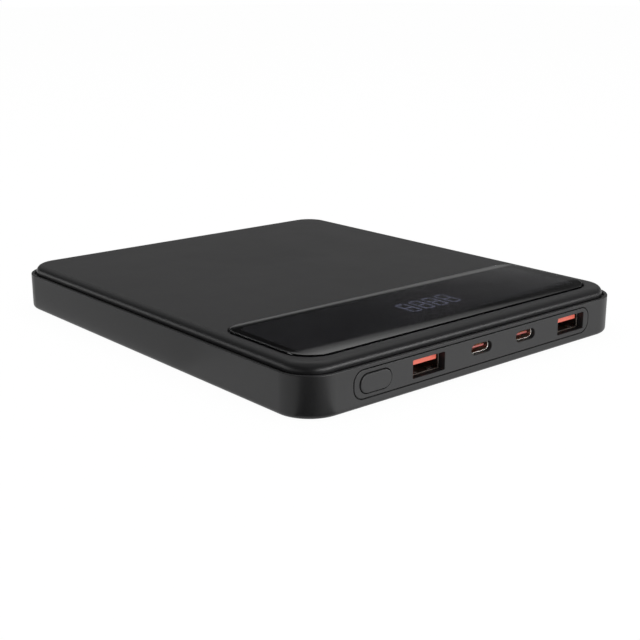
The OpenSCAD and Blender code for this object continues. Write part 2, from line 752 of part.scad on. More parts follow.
module cell_pads() color("#e6e6e2") for (s = [-1, 1], r = [0, 1], p = [0.25, 0.75]) at_cell(s, r)
    translate([-cell_w / 2 + pad_side, p * (cell_d - seal_d) - pad_w / 2, floor_t])
        cube([cell_w - 2 * pad_side, pad_w, pad_t]);

module cell_tape() color("#d8a62c") for (s = [-1, 1], r = [0, 1]) at_cell(s, r)
    translate([-cell_w / 2 + cell_r + 1, cell_d - seal_d + 0.2, film_z])
        cube([cell_w - 2 * cell_r - 2, seal_d - 0.6, film_t]);

module cell_tabs() color("#c8cacc") for (s = [-1, 1], r = [0, 1], t = [-1, 1]) at_cell(s, r)
    translate([t * tab_x - tab_w / 2, cell_d - seal_d + 0.6, tab_z]) cube([tab_w, seal_d - 1.4, tab_t]);

module cell_links() color("#b9b7b0") translate([0, 0, tab_top]) {
    // front cell to back cell on each side
    for (s = [-1, 1]) translate([s * (cell_x + tab_x) - link_w / 2, cell_y0 + cell_d - seal_d + 1.5, 0])
        cube([link_w, 2 * seal_d + row_gap - 3, link_t]);
    // back left cell to back right cell
    translate([-cell_x + tab_x - tab_w / 2, row2_y0 + 1.2, 0])
        cube([2 * (cell_x - tab_x) + tab_w, link_w * 0.8, link_t]);
}

// a lead from a front cell's inner tab, along the gap between the cells, onto the board
module lead(side) translate([0, 0, lead_z]) {
    x1 = cell_x - tab_x + tab_w / 2 - 0.5;
    bx = lead_x + lead_bend;
    by = lead_y - lead_bend;
    mirror([side < 0 ? 1 : 0, 0, 0]) {
        translate([bx, lead_y, 0]) rotate([0, 90, 0]) cylinder(r = lead_r, h = x1 - bx, $fn = 32);
        translate([bx, by, 0]) rotate(90) rotate_extrude(angle = 90, $fn = 32)
            translate([lead_bend, 0]) circle(lead_r);
        translate([lead_x, by, 0]) rotate([90, 0, 0])
            cylinder(r = lead_r, h = by - board_y1 + lead_land, $fn = 32);
    }
}

module lead_positive() color("#c0322b") lead(1);
module lead_negative() color("#1d1d1f") lead(-1);

case_tray();
top_cover();
display_lens();
lens_tape();
display_module();
display_segments();
port_panel();
power_button();
switch_body();
switch_plunger();
main_board();
board_screws();
translate([a_left_x, 0, 0]) a_shell();  // usb_a_shell_left
translate([a_right_x, 0, 0]) a_shell();  // usb_a_shell_right
translate([a_left_x, 0, 0]) a_tongue();  // usb_a_tongue_left
translate([a_right_x, 0, 0]) a_tongue();  // usb_a_tongue_right
translate([a_left_x, 0, 0]) a_contacts();  // usb_a_contacts_left
translate([a_right_x, 0, 0]) a_contacts();  // usb_a_contacts_right
translate([c_left_x, 0, 0]) c_shell();  // usb_c_shell_left
translate([c_right_x, 0, 0]) c_shell();  // usb_c_shell_right
translate([c_left_x, 0, 0]) c_tongue();  // usb_c_tongue_left
translate([c_right_x, 0, 0]) c_tongue();  // usb_c_tongue_right
translate([c_left_x, 0, 0]) c_contacts();  // usb_c_contacts_left
translate([c_right_x, 0, 0]) c_contacts();  // usb_c_contacts_right
controller_chips();
power_transistors();
power_inductors();
capacitors();
cell_front_left();
cell_front_right();
cell_back_left();
cell_back_right();
cell_pads();
cell_tabs();
cell_links();
cell_tape();
lead_positive();
lead_negative();
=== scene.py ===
"""A flat black power bank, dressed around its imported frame. Metres, +Z up, sockets towards -Y."""
import math

import bmesh
import bpy
from mathutils import Matrix, Vector


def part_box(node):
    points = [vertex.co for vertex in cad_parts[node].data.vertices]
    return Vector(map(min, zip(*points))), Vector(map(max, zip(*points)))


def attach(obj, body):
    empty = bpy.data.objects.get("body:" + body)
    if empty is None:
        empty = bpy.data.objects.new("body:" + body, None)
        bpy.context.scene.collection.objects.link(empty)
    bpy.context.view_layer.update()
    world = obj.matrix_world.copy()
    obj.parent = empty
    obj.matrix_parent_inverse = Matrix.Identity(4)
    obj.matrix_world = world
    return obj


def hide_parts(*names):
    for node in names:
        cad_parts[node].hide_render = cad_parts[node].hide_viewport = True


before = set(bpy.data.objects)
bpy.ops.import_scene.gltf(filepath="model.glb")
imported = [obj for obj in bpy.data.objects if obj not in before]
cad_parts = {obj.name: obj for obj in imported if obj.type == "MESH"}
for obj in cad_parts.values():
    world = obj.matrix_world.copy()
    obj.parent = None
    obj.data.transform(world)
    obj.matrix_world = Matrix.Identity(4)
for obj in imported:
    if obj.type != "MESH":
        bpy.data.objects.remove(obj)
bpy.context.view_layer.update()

# ---- camera ----
# A product view from the left front corner, a little above the desk. A long lens keeps the slab's edges
# nearly parallel, and everything is in focus.


def placed(name, data):
    """Puts a camera, a lamp or a mesh into the scene."""
    made = bpy.data.objects.new(name, data)
    bpy.context.scene.collection.objects.link(made)
    return made


LOOK_DOWN, LOOK_RIGHT = 16.2125, 40.561  # degrees below level, and to the right of straight at the sockets
camera = placed("camera", bpy.data.cameras.new("camera"))
camera.location = (-0.2562, -0.305326, 0.114353)
camera.rotation_euler = (math.radians(90 - LOOK_DOWN), 0, math.radians(-LOOK_RIGHT))
camera.data.sensor_width = 36
camera.data.lens = 64.535
camera.data.clip_start, camera.data.clip_end = 0.01, 20
camera.data.dof.use_dof = False
bpy.context.scene.camera = camera

# ---- studio ----
# A white paper floor, four soft lamps and dimly glowing grey walls round them, as for small black products:
# the lamps show as soft bands along the round edges, and the dark walls keep the glossy panel black.


def linear(colour):
    """An sRGB hex colour as linear RGBA."""
    parts = [int(colour[i : i + 2], 16) / 255 for i in (1, 3, 5)]
    return (*[p / 12.92 if p <= 0.04045 else ((p + 0.055) / 1.055) ** 2.4 for p in parts], 1)


def connect(node, inputs):
    """Sets inputs, by name or number, to values, outputs, or nodes for their first output."""
    for name, value in inputs.items():
        if isinstance(value, bpy.types.Node):
            value = value.outputs[0]
        if isinstance(value, bpy.types.NodeSocket):
            node.id_data.links.new(value, node.inputs[name])
        else:
            node.inputs[name].default_value = value


def add_node(tree, kind, inputs=None, **settings):
    """Adds one node with its settings, and connects its inputs."""
    made = tree.nodes.new(kind)
    for name, value in settings.items():
        setattr(made, name, value)
    connect(made, inputs or {})
    return made


def new_material(name):
    """An empty material and its node tree."""
    made = bpy.data.materials.new(name)
    made.use_nodes = True
    made.node_tree.nodes.clear()
    return made, made.node_tree


def seen_directly(tree):
    """1 where a view, a reflection or a look through glass reaches the background, else 0."""
    path = add_node(tree, "ShaderNodeLightPath").outputs
    mirror = add_node(tree, "ShaderNodeMath", {0: path["Is Camera Ray"], 1: path["Is Glossy Ray"]})
    return add_node(tree, "ShaderNodeMath", {0: mirror, 1: path["Is Transmission Ray"]}, use_clamp=True)


def flat_sheet(name, outline, height, material):
    """A single flat face with this outline, in metres."""
    mesh = bpy.data.meshes.new(name)
    mesh.from_pydata([(x, y, height) for x, y in outline], [], [range(len(outline))])
    mesh.materials.append(material)
    return placed(name, mesh)


def drawn(name, shape, *materials):
    """Makes a piece of a finished bmesh."""
    mesh = bpy.data.meshes.new(name)
    shape.to_mesh(mesh)
    shape.free()
    for material in materials:
        mesh.materials.append(material)
    return placed(name, mesh)


def only_reflected(piece):
    """Hides a piece of the studio from everything but reflections."""
    piece.visible_camera = piece.visible_diffuse = False
    piece.visible_shadow = piece.visible_transmission = False


WHITE = linear("#ffffff")
world = bpy.data.worlds.new("studio_air")
world.use_nodes = True
tree = world.node_tree
tree.nodes.clear()
soft_air = add_node(tree, "ShaderNodeBackground", {"Color": WHITE, "Strength": 0.8})
white_air = add_node(tree, "ShaderNodeBackground", {"Color": WHITE, "Strength": 1.0})
air = add_node(tree, "ShaderNodeMixShader", {0: seen_directly(tree), 1: soft_air, 2: white_air})
add_node(tree, "ShaderNodeOutputWorld", {"Surface": air})
bpy.context.scene.world = world
bpy.context.scene.view_settings.view_transform = "Standard"

# White paper: matt, and so evenly lit that it shows as white with only a trace of shadow.
paper, tree = new_material("white_paper_matt")
sheet = add_node(tree, "ShaderNodeBsdfDiffuse", {"Color": linear("#fafafa")})
glow = add_node(tree, "ShaderNodeEmission", {"Color": WHITE, "Strength": 1.0})
shade = add_node(tree, "ShaderNodeMath", {0: seen_directly(tree), 1: 0.96}, operation="MULTIPLY")
seen = add_node(tree, "ShaderNodeMixShader", {0: shade, 1: sheet, 2: glow})
add_node(tree, "ShaderNodeOutputMaterial", {"Surface": seen})

FLOOR_HALF = 6.0
floor_outline = [(x * FLOOR_HALF, y * FLOOR_HALF) for x, y in ((-1, -1), (1, -1), (1, 1), (-1, 1))]
floor = flat_sheet("floor", floor_outline, 0, paper)

# Grey studio walls that glow, seen by reflections alone, so that their glow is painted reflection: light at
# floor level, a dark band above it, and a bright band as high as a window. Only the far side glows, standing
# in for black cloth on the near side, and a painted haze lifts the dark band towards the right.
WALL_R, WALL_H = 2.5, 3.0
walls_glow, tree = new_material("grey_studio_paint")
spot = add_node(tree, "ShaderNodeTexCoord").outputs["Object"]
rise = add_node(tree, "ShaderNodeSeparateXYZ", {0: spot}).outputs["Z"]
height = add_node(tree, "ShaderNodeMapRange", {"Value": rise, "From Max": WALL_H})
shades = add_node(tree, "ShaderNodeValToRGB", {"Fac": height})
stops = shades.color_ramp.elements
stops.remove(stops[0])
for z, level in (
    (0.0, 0.25), (0.42, 0.3), (0.5, 0.42), (0.56, 0.38), (0.6, 0.16), (0.65, 0.05), (0.74, 0.02),
    (0.93, 0.015), (0.965, 0.2), (1.0, 0.28), (1.05, 0.36), (1.12, 0.55), (1.2, 0.8), (1.3, 1.0),
    (1.36, 0.8), (1.46, 0.1), (WALL_H, 0.03),
):
    stop = stops.new(z / WALL_H)
    stop.color = (level, level, level, 1)
stops.remove(stops[-1])
to_right = add_node(tree, "ShaderNodeVectorMath", {0: spot, 1: (0.7, -0.7, 0.0)}, operation="DOT_PRODUCT")
haze = add_node(tree, "ShaderNodeMapRange", {
    "Value": to_right.outputs["Value"], "From Min": -0.1, "From Max": 0.55, "To Max": 0.045,
})
hazy = add_node(tree, "ShaderNodeMath", {0: shades, 1: haze})
far_side = add_node(tree, "ShaderNodeVectorMath", {0: spot, 1: (0.78, 0.62, 0.0)}, operation="DOT_PRODUCT")
facing = add_node(tree, "ShaderNodeMapRange", {"Value": far_side.outputs["Value"], "From Max": WALL_R / 2})
strength = add_node(tree, "ShaderNodeMath", {0: hazy, 1: facing}, operation="MULTIPLY")
# The walls' glow: painted reflections of a lit studio, dark on the near side.
wall_glow = add_node(tree, "ShaderNodeEmission", {"Color": WHITE, "Strength": strength})
add_node(tree, "ShaderNodeOutputMaterial", {"Surface": wall_glow})

shape = bmesh.new()
bmesh.ops.create_cone(shape, cap_ends=True, segments=48, radius1=WALL_R, radius2=WALL_R, depth=WALL_H)
base = [f for f in shape.faces if f.calc_center_median().z < -WALL_H * 0.49]
bmesh.ops.delete(shape, geom=base, context="FACES")
bmesh.ops.translate(shape, verts=shape.verts, vec=(0, 0, WALL_H / 2))
bmesh.ops.reverse_faces(shape, faces=shape.faces)
walls = drawn("studio_walls", shape, walls_glow)
only_reflected(walls)

# Three cards on the floor that glow, seen by reflections alone, so that each paints a reflection: a black
# one round the near corner paints that corner dark, a grey one beside the left wall evens out that wall, and
# a bright one before the ports lifts their left end. Each card's glow runs from its left level to its right
# level along X.
CORNER_X, CORNER_Y, CARD_Z, CARD_FADE = -0.0595, -0.071, 0.0002, 0.06
turns = [math.radians(175 + 70 * i / 12) for i in range(13)]
corner_outline = [
    (CORNER_X + reach * math.sin(a), CORNER_Y + reach * math.cos(a))
    for reach, sweep in ((0.0125, turns), (0.3, turns[::-1]))
    for a in sweep
]
for name, left_level, right_level, outline in (
    ("black_card", 0.0015, 0.0015, corner_outline),
    ("grey_card", 0.67, 0.67, [(-0.0745, -0.02), (-0.2, 0.03), (-0.2, 0.3), (-0.0745, 0.12)]),
    ("lit_card", 1.5, 1.0, [(-0.058, -0.0836), (-0.033, -0.37), (0.3, -0.37), (0.3, -0.0836)]),
):
    card_glow, tree = new_material(f"{name}_paper")
    spot = add_node(tree, "ShaderNodeTexCoord").outputs["Object"]
    across = add_node(tree, "ShaderNodeSeparateXYZ", {0: spot}).outputs["X"]
    level = add_node(tree, "ShaderNodeMapRange", {
        "Value": across, "From Min": -CARD_FADE, "From Max": CARD_FADE,
        "To Min": left_level, "To Max": right_level,
    })
    # The card's glow is a painted reflection: dark, grey or bright.
    light = add_node(tree, "ShaderNodeEmission", {"Color": WHITE, "Strength": level})
    add_node(tree, "ShaderNodeOutputMaterial", {"Surface": light})
    card = flat_sheet(name, outline, CARD_Z, card_glow)
    only_reflected(card)

# Lamps: how far round from straight behind each stands, its distance, the height of its middle, its width
# and height in metres, its power in watts, and whether matt and glossy surfaces show it.
for name, azimuth, away, middle, size, power, matt, glossy in (
    ("lamp_above", 0, 0.0, 1.1, (1.8, 1.8), 5.4, True, True),
    ("strip_left", 305, 1.3, 0.11, (1.4, 0.2), 2.6, False, True),
    ("strip_right", 165, 1.3, 0.1, (1.6, 0.28), 18.0, False, True),
    ("fill_front", 190, 1.2, 0.45, (1.2, 0.6), 5.0, True, False),
):
    lamp = placed(name, bpy.data.lights.new(name, "AREA"))
    lamp.data.shape = "RECTANGLE"
    lamp.data.size, lamp.data.size_y = size
    lamp.data.energy = power
    turn = math.radians(azimuth)
    lamp.location = (away * math.sin(turn), away * math.cos(turn), middle)
    lamp.rotation_euler = (-lamp.location).to_track_quat("-Z", "Y").to_euler()
    lamp.visible_camera = False
    lamp.visible_diffuse, lamp.visible_glossy = matt, glossy

# ---- case tray ----
# The bottom shell: one ABS moulding with the floor and all four walls, 1.8 mm thick. Its port side has a
# stepped opening for the port panel, and its top edge ends in a thin lip round the cover.

MM = 0.001


def started_tree(name, **inputs):
    """A geometry tree with these inputs, an underscore standing for a space, and one geometry output."""
    tree = bpy.data.node_groups.new(name, "GeometryNodeTree")
    for label, kind in inputs.items():
        tree.interface.new_socket(label.replace("_", " "), in_out="INPUT", socket_type=f"NodeSocket{kind}")
    tree.interface.new_socket("Result", in_out="OUTPUT", socket_type="NodeSocketGeometry")
    return tree, add_node(tree, "NodeGroupInput").outputs


def ended_tree(tree, geometry, material):
    """Ends a geometry tree in Realize Instances and Set Material."""
    real = add_node(tree, "GeometryNodeRealizeInstances", {"Geometry": geometry})
    coated = add_node(tree, "GeometryNodeSetMaterial", {"Geometry": real, "Material": material})
    add_node(tree, "NodeGroupOutput", {0: coated})
    return tree


def moulding_tree():
    """Node tree for any moulding with four round corners. The modifier's own mesh is its section:
    each point gives one ring round it, X as the inset from the outline and Z as the height."""
    tree, given = started_tree(
        "rounded_moulding", Section="Geometry", Width="Float", Depth="Float",
        Front_Radius="Float", Back_Radius="Float", Corner_Steps="Int", Material="Material",
    )
    count = add_node(tree, "GeometryNodeAttributeDomainSize", {"Geometry": given["Section"]})
    place = add_node(tree, "GeometryNodeInputPosition")
    now = add_node(tree, "ShaderNodeSeparateXYZ", {0: place}).outputs
    known = {**dict(given.items()), **dict(now.items()), "Points": count}

    def work_out(rows):
        """Each row is a name, a sum and what it works on: numbers, names of inputs or of earlier rows."""
        for name, operation, *terms in rows:
            inputs = {i: known.get(t, t) for i, t in enumerate(terms)}
            known[name] = add_node(tree, "ShaderNodeMath", inputs, operation=operation)

    # which ring a point is on, which corner it belongs to, and how far round that corner it is
    work_out((
        ("rows", "SUBTRACT", "Points", 1.0),
        ("ring_at", "MULTIPLY_ADD", "rows", 0.5, "Z"),
        ("ring", "ROUND", "ring_at"),
        ("per_corner", "ADD", "Corner Steps", 1.0),
        ("around", "MULTIPLY", "per_corner", 4.0),
        ("angle", "ARCTAN2", "Y", "X"),
        ("turn", "DIVIDE", "angle", math.tau),
        ("spot_at", "MULTIPLY", "turn", "around"),
        ("spot_near", "ROUND", "spot_at"),
        ("spot", "FLOORED_MODULO", "spot_near", "around"),
        ("corner_at", "DIVIDE", "spot", "per_corner"),
        ("corner", "FLOOR", "corner_at"),
        ("before", "MULTIPLY", "corner", "per_corner"),
        ("step", "SUBTRACT", "spot", "before"),
        ("share", "DIVIDE", "step", "Corner Steps"),
        ("quarters", "ADD", "corner", "share"),
        ("bend", "MULTIPLY", "quarters", math.pi / 2),
        ("middle", "ADD", "corner", 0.5),
        ("aim", "MULTIPLY", "middle", math.pi / 2),
        ("aim_x", "COSINE", "aim"),
        ("aim_y", "SINE", "aim"),
        ("side_x", "SIGN", "aim_x"),
        ("side_y", "SIGN", "aim_y"),
        ("is_back", "GREATER_THAN", "side_y", 0.0),
        ("more", "SUBTRACT", "Back Radius", "Front Radius"),
        ("radius", "MULTIPLY_ADD", "more", "is_back", "Front Radius"),
    ))
    cylinder = add_node(tree, "GeometryNodeMeshCylinder", {
        "Vertices": known["around"],
        "Side Segments": known["rows"],
        "Radius": 1.0,
        "Depth": known["rows"],
    }, fill_type="NGON")
    section = add_node(tree, "GeometryNodeSampleIndex", {
        "Geometry": given["Section"],
        "Value": place,
        "Index": known["ring"],
    }, data_type="FLOAT_VECTOR")
    cut = add_node(tree, "ShaderNodeSeparateXYZ", {0: section}).outputs
    known["inset"] = cut["X"]
    work_out((
        ("reach", "SUBTRACT", "radius", "inset"),
        ("cos_bend", "COSINE", "bend"),
        ("sin_bend", "SINE", "bend"),
        ("arc_x", "MULTIPLY", "reach", "cos_bend"),
        ("arc_y", "MULTIPLY", "reach", "sin_bend"),
        ("half_w", "MULTIPLY", "Width", 0.5),
        ("half_d", "MULTIPLY", "Depth", 0.5),
        ("centre_w", "SUBTRACT", "half_w", "radius"),
        ("centre_d", "SUBTRACT", "half_d", "radius"),
        ("new_x", "MULTIPLY_ADD", "centre_w", "side_x", "arc_x"),
        ("new_y", "MULTIPLY_ADD", "centre_d", "side_y", "arc_y"),
    ))
    new = {0: known["new_x"], 1: known["new_y"], 2: cut["Z"]}
    spot = add_node(tree, "ShaderNodeCombineXYZ", new)
    moved = add_node(tree, "GeometryNodeSetPosition", {"Geometry": cylinder, "Position": spot})
    merged = add_node(tree, "GeometryNodeMergeByDistance", {"Geometry": moved, "Distance": 0.0005 * MM})
    return ended_tree(tree, merged, given["Material"])


rounded_moulding = moulding_tree()


def settled(piece):
    """Turns what a piece's modifiers make into its own plain mesh."""
    made = bpy.data.meshes.new_from_object(piece.evaluated_get(bpy.context.evaluated_depsgraph_get()))
    piece.modifiers.clear()
    old, piece.data = piece.data, made
    bpy.data.meshes.remove(old)
    made.name = piece.name
    return piece


def with_tree(piece, tree, **values):
    """Runs a node tree on a piece with its inputs set by name, and keeps the result as a plain mesh."""
    modifier = piece.modifiers.new(tree.name, "NODES")
    modifier.node_group = tree
    for item in tree.interface.items_tree:
        label = item.name.replace(" ", "_")
        if item.in_out == "INPUT" and label in values:
            modifier[item.identifier] = values[label]
    return settled(piece)


def copies_tree():
    """Node tree for equal pieces in straight rows, such as contacts or screws: columns of them along one
    step, and rows of those along another. The piece is drawn at the first place."""
    tree, given = started_tree(
        "copies_in_rows", Geometry="Geometry", Columns="Int", Column_Step="Vector",
        Rows="Int", Row_Step="Vector", Material="Material",
    )
    copies = given["Geometry"]
    for count, step in (("Columns", "Column Step"), ("Rows", "Row Step")):
        line = add_node(tree, "GeometryNodeMeshLine", {"Count": given[count], "Offset": given[step]})
        copies = add_node(tree, "GeometryNodeInstanceOnPoints", {"Points": line, "Instance": copies})
    return ended_tree(tree, copies, given["Material"])


copies_in_rows = copies_tree()


def copied(piece, columns, column_step, rows=1, row_step=(0, 0, 0)):
    """Repeats a piece in rows, with steps in millimetres."""
    return with_tree(
        piece, copies_in_rows, Columns=columns, Column_Step=[v * MM for v in column_step],
        Rows=rows, Row_Step=[v * MM for v in row_step], Material=piece.data.materials[0],
    )


UP = Matrix.Identity(4)
FRONT = Matrix.Rotation(math.pi / 2, 4, "X")  # heights then run towards the sockets' side, -Y


def moulded(name, section, width, depth, radius, material, steps, at=(0, 0, 0), facing=UP, back_radius=None):
    """A moulding in millimetres: section is (inset, height) pairs from one closed end to the other."""
    mesh = bpy.data.meshes.new(name)
    mesh.from_pydata([(inset * MM, 0, height * MM) for inset, height in section], [], [])
    piece = placed(name, mesh)
    with_tree(
        piece, rounded_moulding, Width=width * MM, Depth=depth * MM, Front_Radius=radius * MM,
        Back_Radius=(back_radius or radius) * MM, Corner_Steps=steps, Material=material,
    )
    piece.data.transform(Matrix.Translation(Vector(at) * MM) @ facing)
    return piece


def turned(name, section, radius, material, steps, at):
    """A round moulding, such as a boss or a can."""
    return moulded(name, section, 2 * radius, 2 * radius, radius, material, steps, at)


def block(name, low, high, material):
    """A square-edged block between two corners in millimetres, to join to or cut from a moulding."""
    shape = bmesh.new()
    bmesh.ops.create_cube(shape, size=1)
    size = Vector(high) - Vector(low)
    middle = (Vector(high) + Vector(low)) / 2
    shape.transform(Matrix.Translation(middle * MM) @ Matrix.Diagonal((*(size * MM), 1)))
    return drawn(name, shape, material)


def combined(piece, operation, others):
    """Joins others to a piece (UNION) or cuts them from it (DIFFERENCE)."""
    for other in others:
        modifier = piece.modifiers.new(operation, "BOOLEAN")
        modifier.operation, modifier.solver, modifier.object = operation, "EXACT", other
    settled(piece)
    for other in others:
        bpy.data.objects.remove(other)
    return piece


def smoothed(piece, angle=32):
    """Shades round surfaces smoothly, and keeps real edges sharp and flat faces flat."""
    shape = bmesh.new()
    shape.from_mesh(piece.data)
    bmesh.ops.remove_doubles(shape, verts=shape.verts, dist=0.0004 * MM)
    bmesh.ops.dissolve_degenerate(shape, edges=shape.edges, dist=0.0002 * MM)
    shape.to_mesh(piece.data)
    shape.free()
    piece.data.shade_smooth()
    piece.data.set_sharp_from_angle(angle=math.radians(angle))
    weights = piece.modifiers.new("flat_faces_first", "WEIGHTED_NORMAL")
    weights.keep_sharp = True
    return settled(piece)


def round_edge(inset, height, radius, start, end, steps=4):
    """Section points on an arc round (inset, height), in degrees from inward (0) to straight up (90)."""
    angles = [math.radians(start + (end - start) * i / steps) for i in range(steps + 1)]
    return [(inset + radius * math.cos(a), height + radius * math.sin(a)) for a in angles]


def dressed(node, material):
    """Gives a carried-over piece its material."""
    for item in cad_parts[node].material_slots:
        item.material = material


def size_of(node):
    """A node's lowest corner, highest corner and middle in millimetres."""
    low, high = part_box(node)
    return low / MM, high / MM, (low + high) / MM / 2


SPREAD = {"From Min": 0.3, "From Max": 0.7}  # most of a noise pattern's values lie between these


def patterned(name):
    """A material of one surface, with its tree, the Object coordinates for its patterns and the surface."""
    made, tree = new_material(name)
    surface = add_node(tree, "ShaderNodeBsdfPrincipled")
    add_node(tree, "ShaderNodeOutputMaterial", {"Surface": surface})
    return made, tree, add_node(tree, "ShaderNodeTexCoord").outputs["Object"], surface


def moulded_plastic(name, colour, roughness, grain, depth, gloss=0.33):
    """Moulded plastic: grain is the spacing in millimetres of its mould's spark-eroded texture, drawn
    coarser than a real one so that it shows. Slow patches of handling vary the gloss."""
    made, tree, spot, surface = patterned(name)
    texture = add_node(tree, "ShaderNodeTexNoise", {
        "Vector": spot, "Scale": 1 / (grain * MM), "Detail": 3.0, "Roughness": 0.6,
    })
    handling = add_node(tree, "ShaderNodeTexNoise", {
        "Vector": spot, "Scale": 1 / (38 * MM), "Detail": 4.0, "Roughness": 0.55,
    })
    polish = add_node(tree, "ShaderNodeMapRange", {
        "Value": handling, **SPREAD, "To Min": roughness - 0.03, "To Max": roughness + 0.03,
    })
    pigment = add_node(tree, "ShaderNodeMapRange", {
        "Value": texture, **SPREAD, "To Min": 0.93, "To Max": 1.07,
    })
    tone = {0: linear(colour)[:3], "Scale": pigment}
    tint = add_node(tree, "ShaderNodeVectorMath", tone, operation="SCALE")
    bump = add_node(tree, "ShaderNodeBump", {"Height": texture, "Strength": 1.0, "Distance": depth * MM})
    connect(surface, {"Base Color": tint, "Roughness": polish, "Specular IOR Level": gloss, "Normal": bump})
    return made


# Black ABS from a finely textured mould: satin, with soft bands of light along its round edges.
case_abs = moulded_plastic("black_abs_satin_texture", "#171718", 0.4, 0.55, 0.004)

BITE, PAST = 0.02, 1  # how far a joined piece reaches into its neighbour, and a cutter out past its cut
low, high, _ = size_of("case_tray")
CASE_W, CASE_D, CASE_R, WALL_TOP = high.x - low.x, high.y - low.y, 11.5, high.z
FLOOR_T, WALL_T, LIP_T, SEAT_Z, LEDGE_T, LEDGE_IN = 1.6, 1.8, 1.2, 12.0, 1.4, 2.8
FOOT_ROUND, LIP_ROUND, LIP_FALL = 1.4, 0.28, 0.1
LEDGE_LOW = SEAT_Z - LEDGE_T
tray_section = (
    [(FOOT_ROUND + 0.5, 0)]
    + round_edge(FOOT_ROUND, FOOT_ROUND, FOOT_ROUND, 270, 180, 6)
    + [(0, FOOT_ROUND + 0.4), (0, WALL_TOP - LIP_ROUND - 0.3)]
    + round_edge(LIP_ROUND, WALL_TOP - LIP_ROUND, LIP_ROUND, 180, 90, 4)
    + round_edge(LIP_T - LIP_ROUND, WALL_TOP - LIP_FALL - LIP_ROUND, LIP_ROUND, 85, 0, 3)
    + [(LIP_T, SEAT_Z), (LEDGE_IN, SEAT_Z), (LEDGE_IN, LEDGE_LOW), (WALL_T, LEDGE_LOW)]
    + [(WALL_T, FLOOR_T + 0.6), (WALL_T + 0.2, FLOOR_T + 0.2), (WALL_T + 0.6, FLOOR_T)]
)
tray = moulded("case_shell", tray_section, CASE_W, CASE_D, CASE_R, case_abs, 20)

panel_low, panel_high, panel_mid = size_of("port_panel")
PANEL_W, PANEL_H, PANEL_R = panel_high.x - panel_low.x, panel_high.z - panel_low.z, 3.5
PANEL_BACK, PLATE_T, PANEL_STEP, PANEL_GAP, PANEL_RIM = -panel_high.y, 1.0, 0.65, 0.15, 0.25
PANEL_EDGE, MOUTH, THICK_SIDE = 0.12, 0.5, 2
FACE = -panel_low.y  # the port side, as a height in FRONT mouldings
panel_spot = (panel_mid.x, 0, panel_mid.z)

board_low, board_high, board_mid = size_of("main_board")
BOSS_R, BOSS_TOP, THREAD_R, THREAD_LOW, SCREW_EDGE = 2.4, board_low.z, 0.9, 1.0, 3.2
RIB_GAP, RIB_T, RIB_TOP = 0.5, 1.0, 4.25
rib_y = board_high.y + RIB_GAP
screw_spots = [
    (board_mid.x + side * ((board_high.x - board_low.x) / 2 - SCREW_EDGE), y, 0)
    for side in (-1, 1)
    for y in (board_low.y + SCREW_EDGE, board_high.y - SCREW_EDGE)
]
combined(tray, "UNION", [
    block(
        "thick_wall", (panel_low.x - THICK_SIDE, -FACE + PLATE_T, FLOOR_T - BITE),
        (panel_high.x + THICK_SIDE, -PANEL_BACK, LEDGE_LOW + BITE), case_abs,
    ),
    block(
        "bay_rib", (low.x + WALL_T - BITE, rib_y, FLOOR_T - BITE),
        (high.x - WALL_T + BITE, rib_y + RIB_T, RIB_TOP), case_abs,
    ),
] + [
    turned(f"boss_{i}", [(0, FLOOR_T - BITE), (0, BOSS_TOP)], BOSS_R, case_abs, 6, spot)
    for i, spot in enumerate(screw_spots)
])
seat_section = [
    (-PANEL_RIM, FACE - PLATE_T), (-PANEL_RIM, FACE - PANEL_EDGE),
    (-PANEL_RIM - PANEL_EDGE - MOUTH, FACE + MOUTH),
]
opening_section = [(PANEL_STEP - PANEL_GAP, FACE - LEDGE_IN - 0.1), (PANEL_STEP - PANEL_GAP, FACE)]
combined(tray, "DIFFERENCE", [
    moulded(name, section, PANEL_W, PANEL_H, PANEL_R, case_abs, 12, panel_spot, FRONT)
    for name, section in (("panel_seat", seat_section), ("panel_opening", opening_section))
] + [
    turned(f"pilot_hole_{i}", [(0, THREAD_LOW), (0, BOSS_TOP + PAST)], THREAD_R, case_abs, 5, spot)
    for i, spot in enumerate(screw_spots)
])
smoothed(tray)
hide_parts("case_tray")
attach(tray, "housing")

# ---- top cover ----
# The top panel: a thinner ABS moulding with a curved rim. It rests on the tray's ledge, behind a dark
# groove, and nine snap hooks hold it down. A shallow pocket near the sockets takes the glossy panel.

# Black ABS from a finer mould than the tray's: smoother but with a duller skin, so the top stays dark.
cover_abs = moulded_plastic("black_abs_fine_texture", "#151516", 0.36, 0.5, 0.003, gloss=0.275)

TOP_Z, UNDER_Z, RIM_T, RIM_ROUND, FOOT_BEVEL = size_of("top_cover")[1].z, 14.0, 2.0, 2.5, 0.15
COVER_IN, COVER_R = 1.9, 9.6
COVER_W, COVER_D = CASE_W - 2 * COVER_IN, CASE_D - 2 * COVER_IN
cover_section = (
    [(RIM_T, UNDER_Z), (RIM_T, SEAT_Z), (FOOT_BEVEL, SEAT_Z), (0, SEAT_Z + FOOT_BEVEL), (0, SEAT_Z + 0.6)]
    + round_edge(RIM_ROUND, TOP_Z - RIM_ROUND, RIM_ROUND, 180, 90, 14)
    + [(RIM_ROUND + 0.5, TOP_Z)]
)
cover = moulded("cover_shell", cover_section, COVER_W, COVER_D, COVER_R, cover_abs, 20)

lens_low, lens_high, lens_mid = size_of("display_lens")
LENS_W, LENS_D = lens_high.x - lens_low.x, lens_high.y - lens_low.y
LENS_FRONT_R, LENS_BACK_R, LENS_GAP = 9.0, 6.5, 0.55
lens_spot = (lens_mid.x, lens_mid.y, 0)
POCKET_Z, POCKET_ROUND, WINDOW_GAP = 14.8, 0.45, 0.3
module_low, module_high, _ = size_of("display_module")
HOOK_HALF, SIDE_PITCH, BACK_PITCH = 4.0, 52, 42


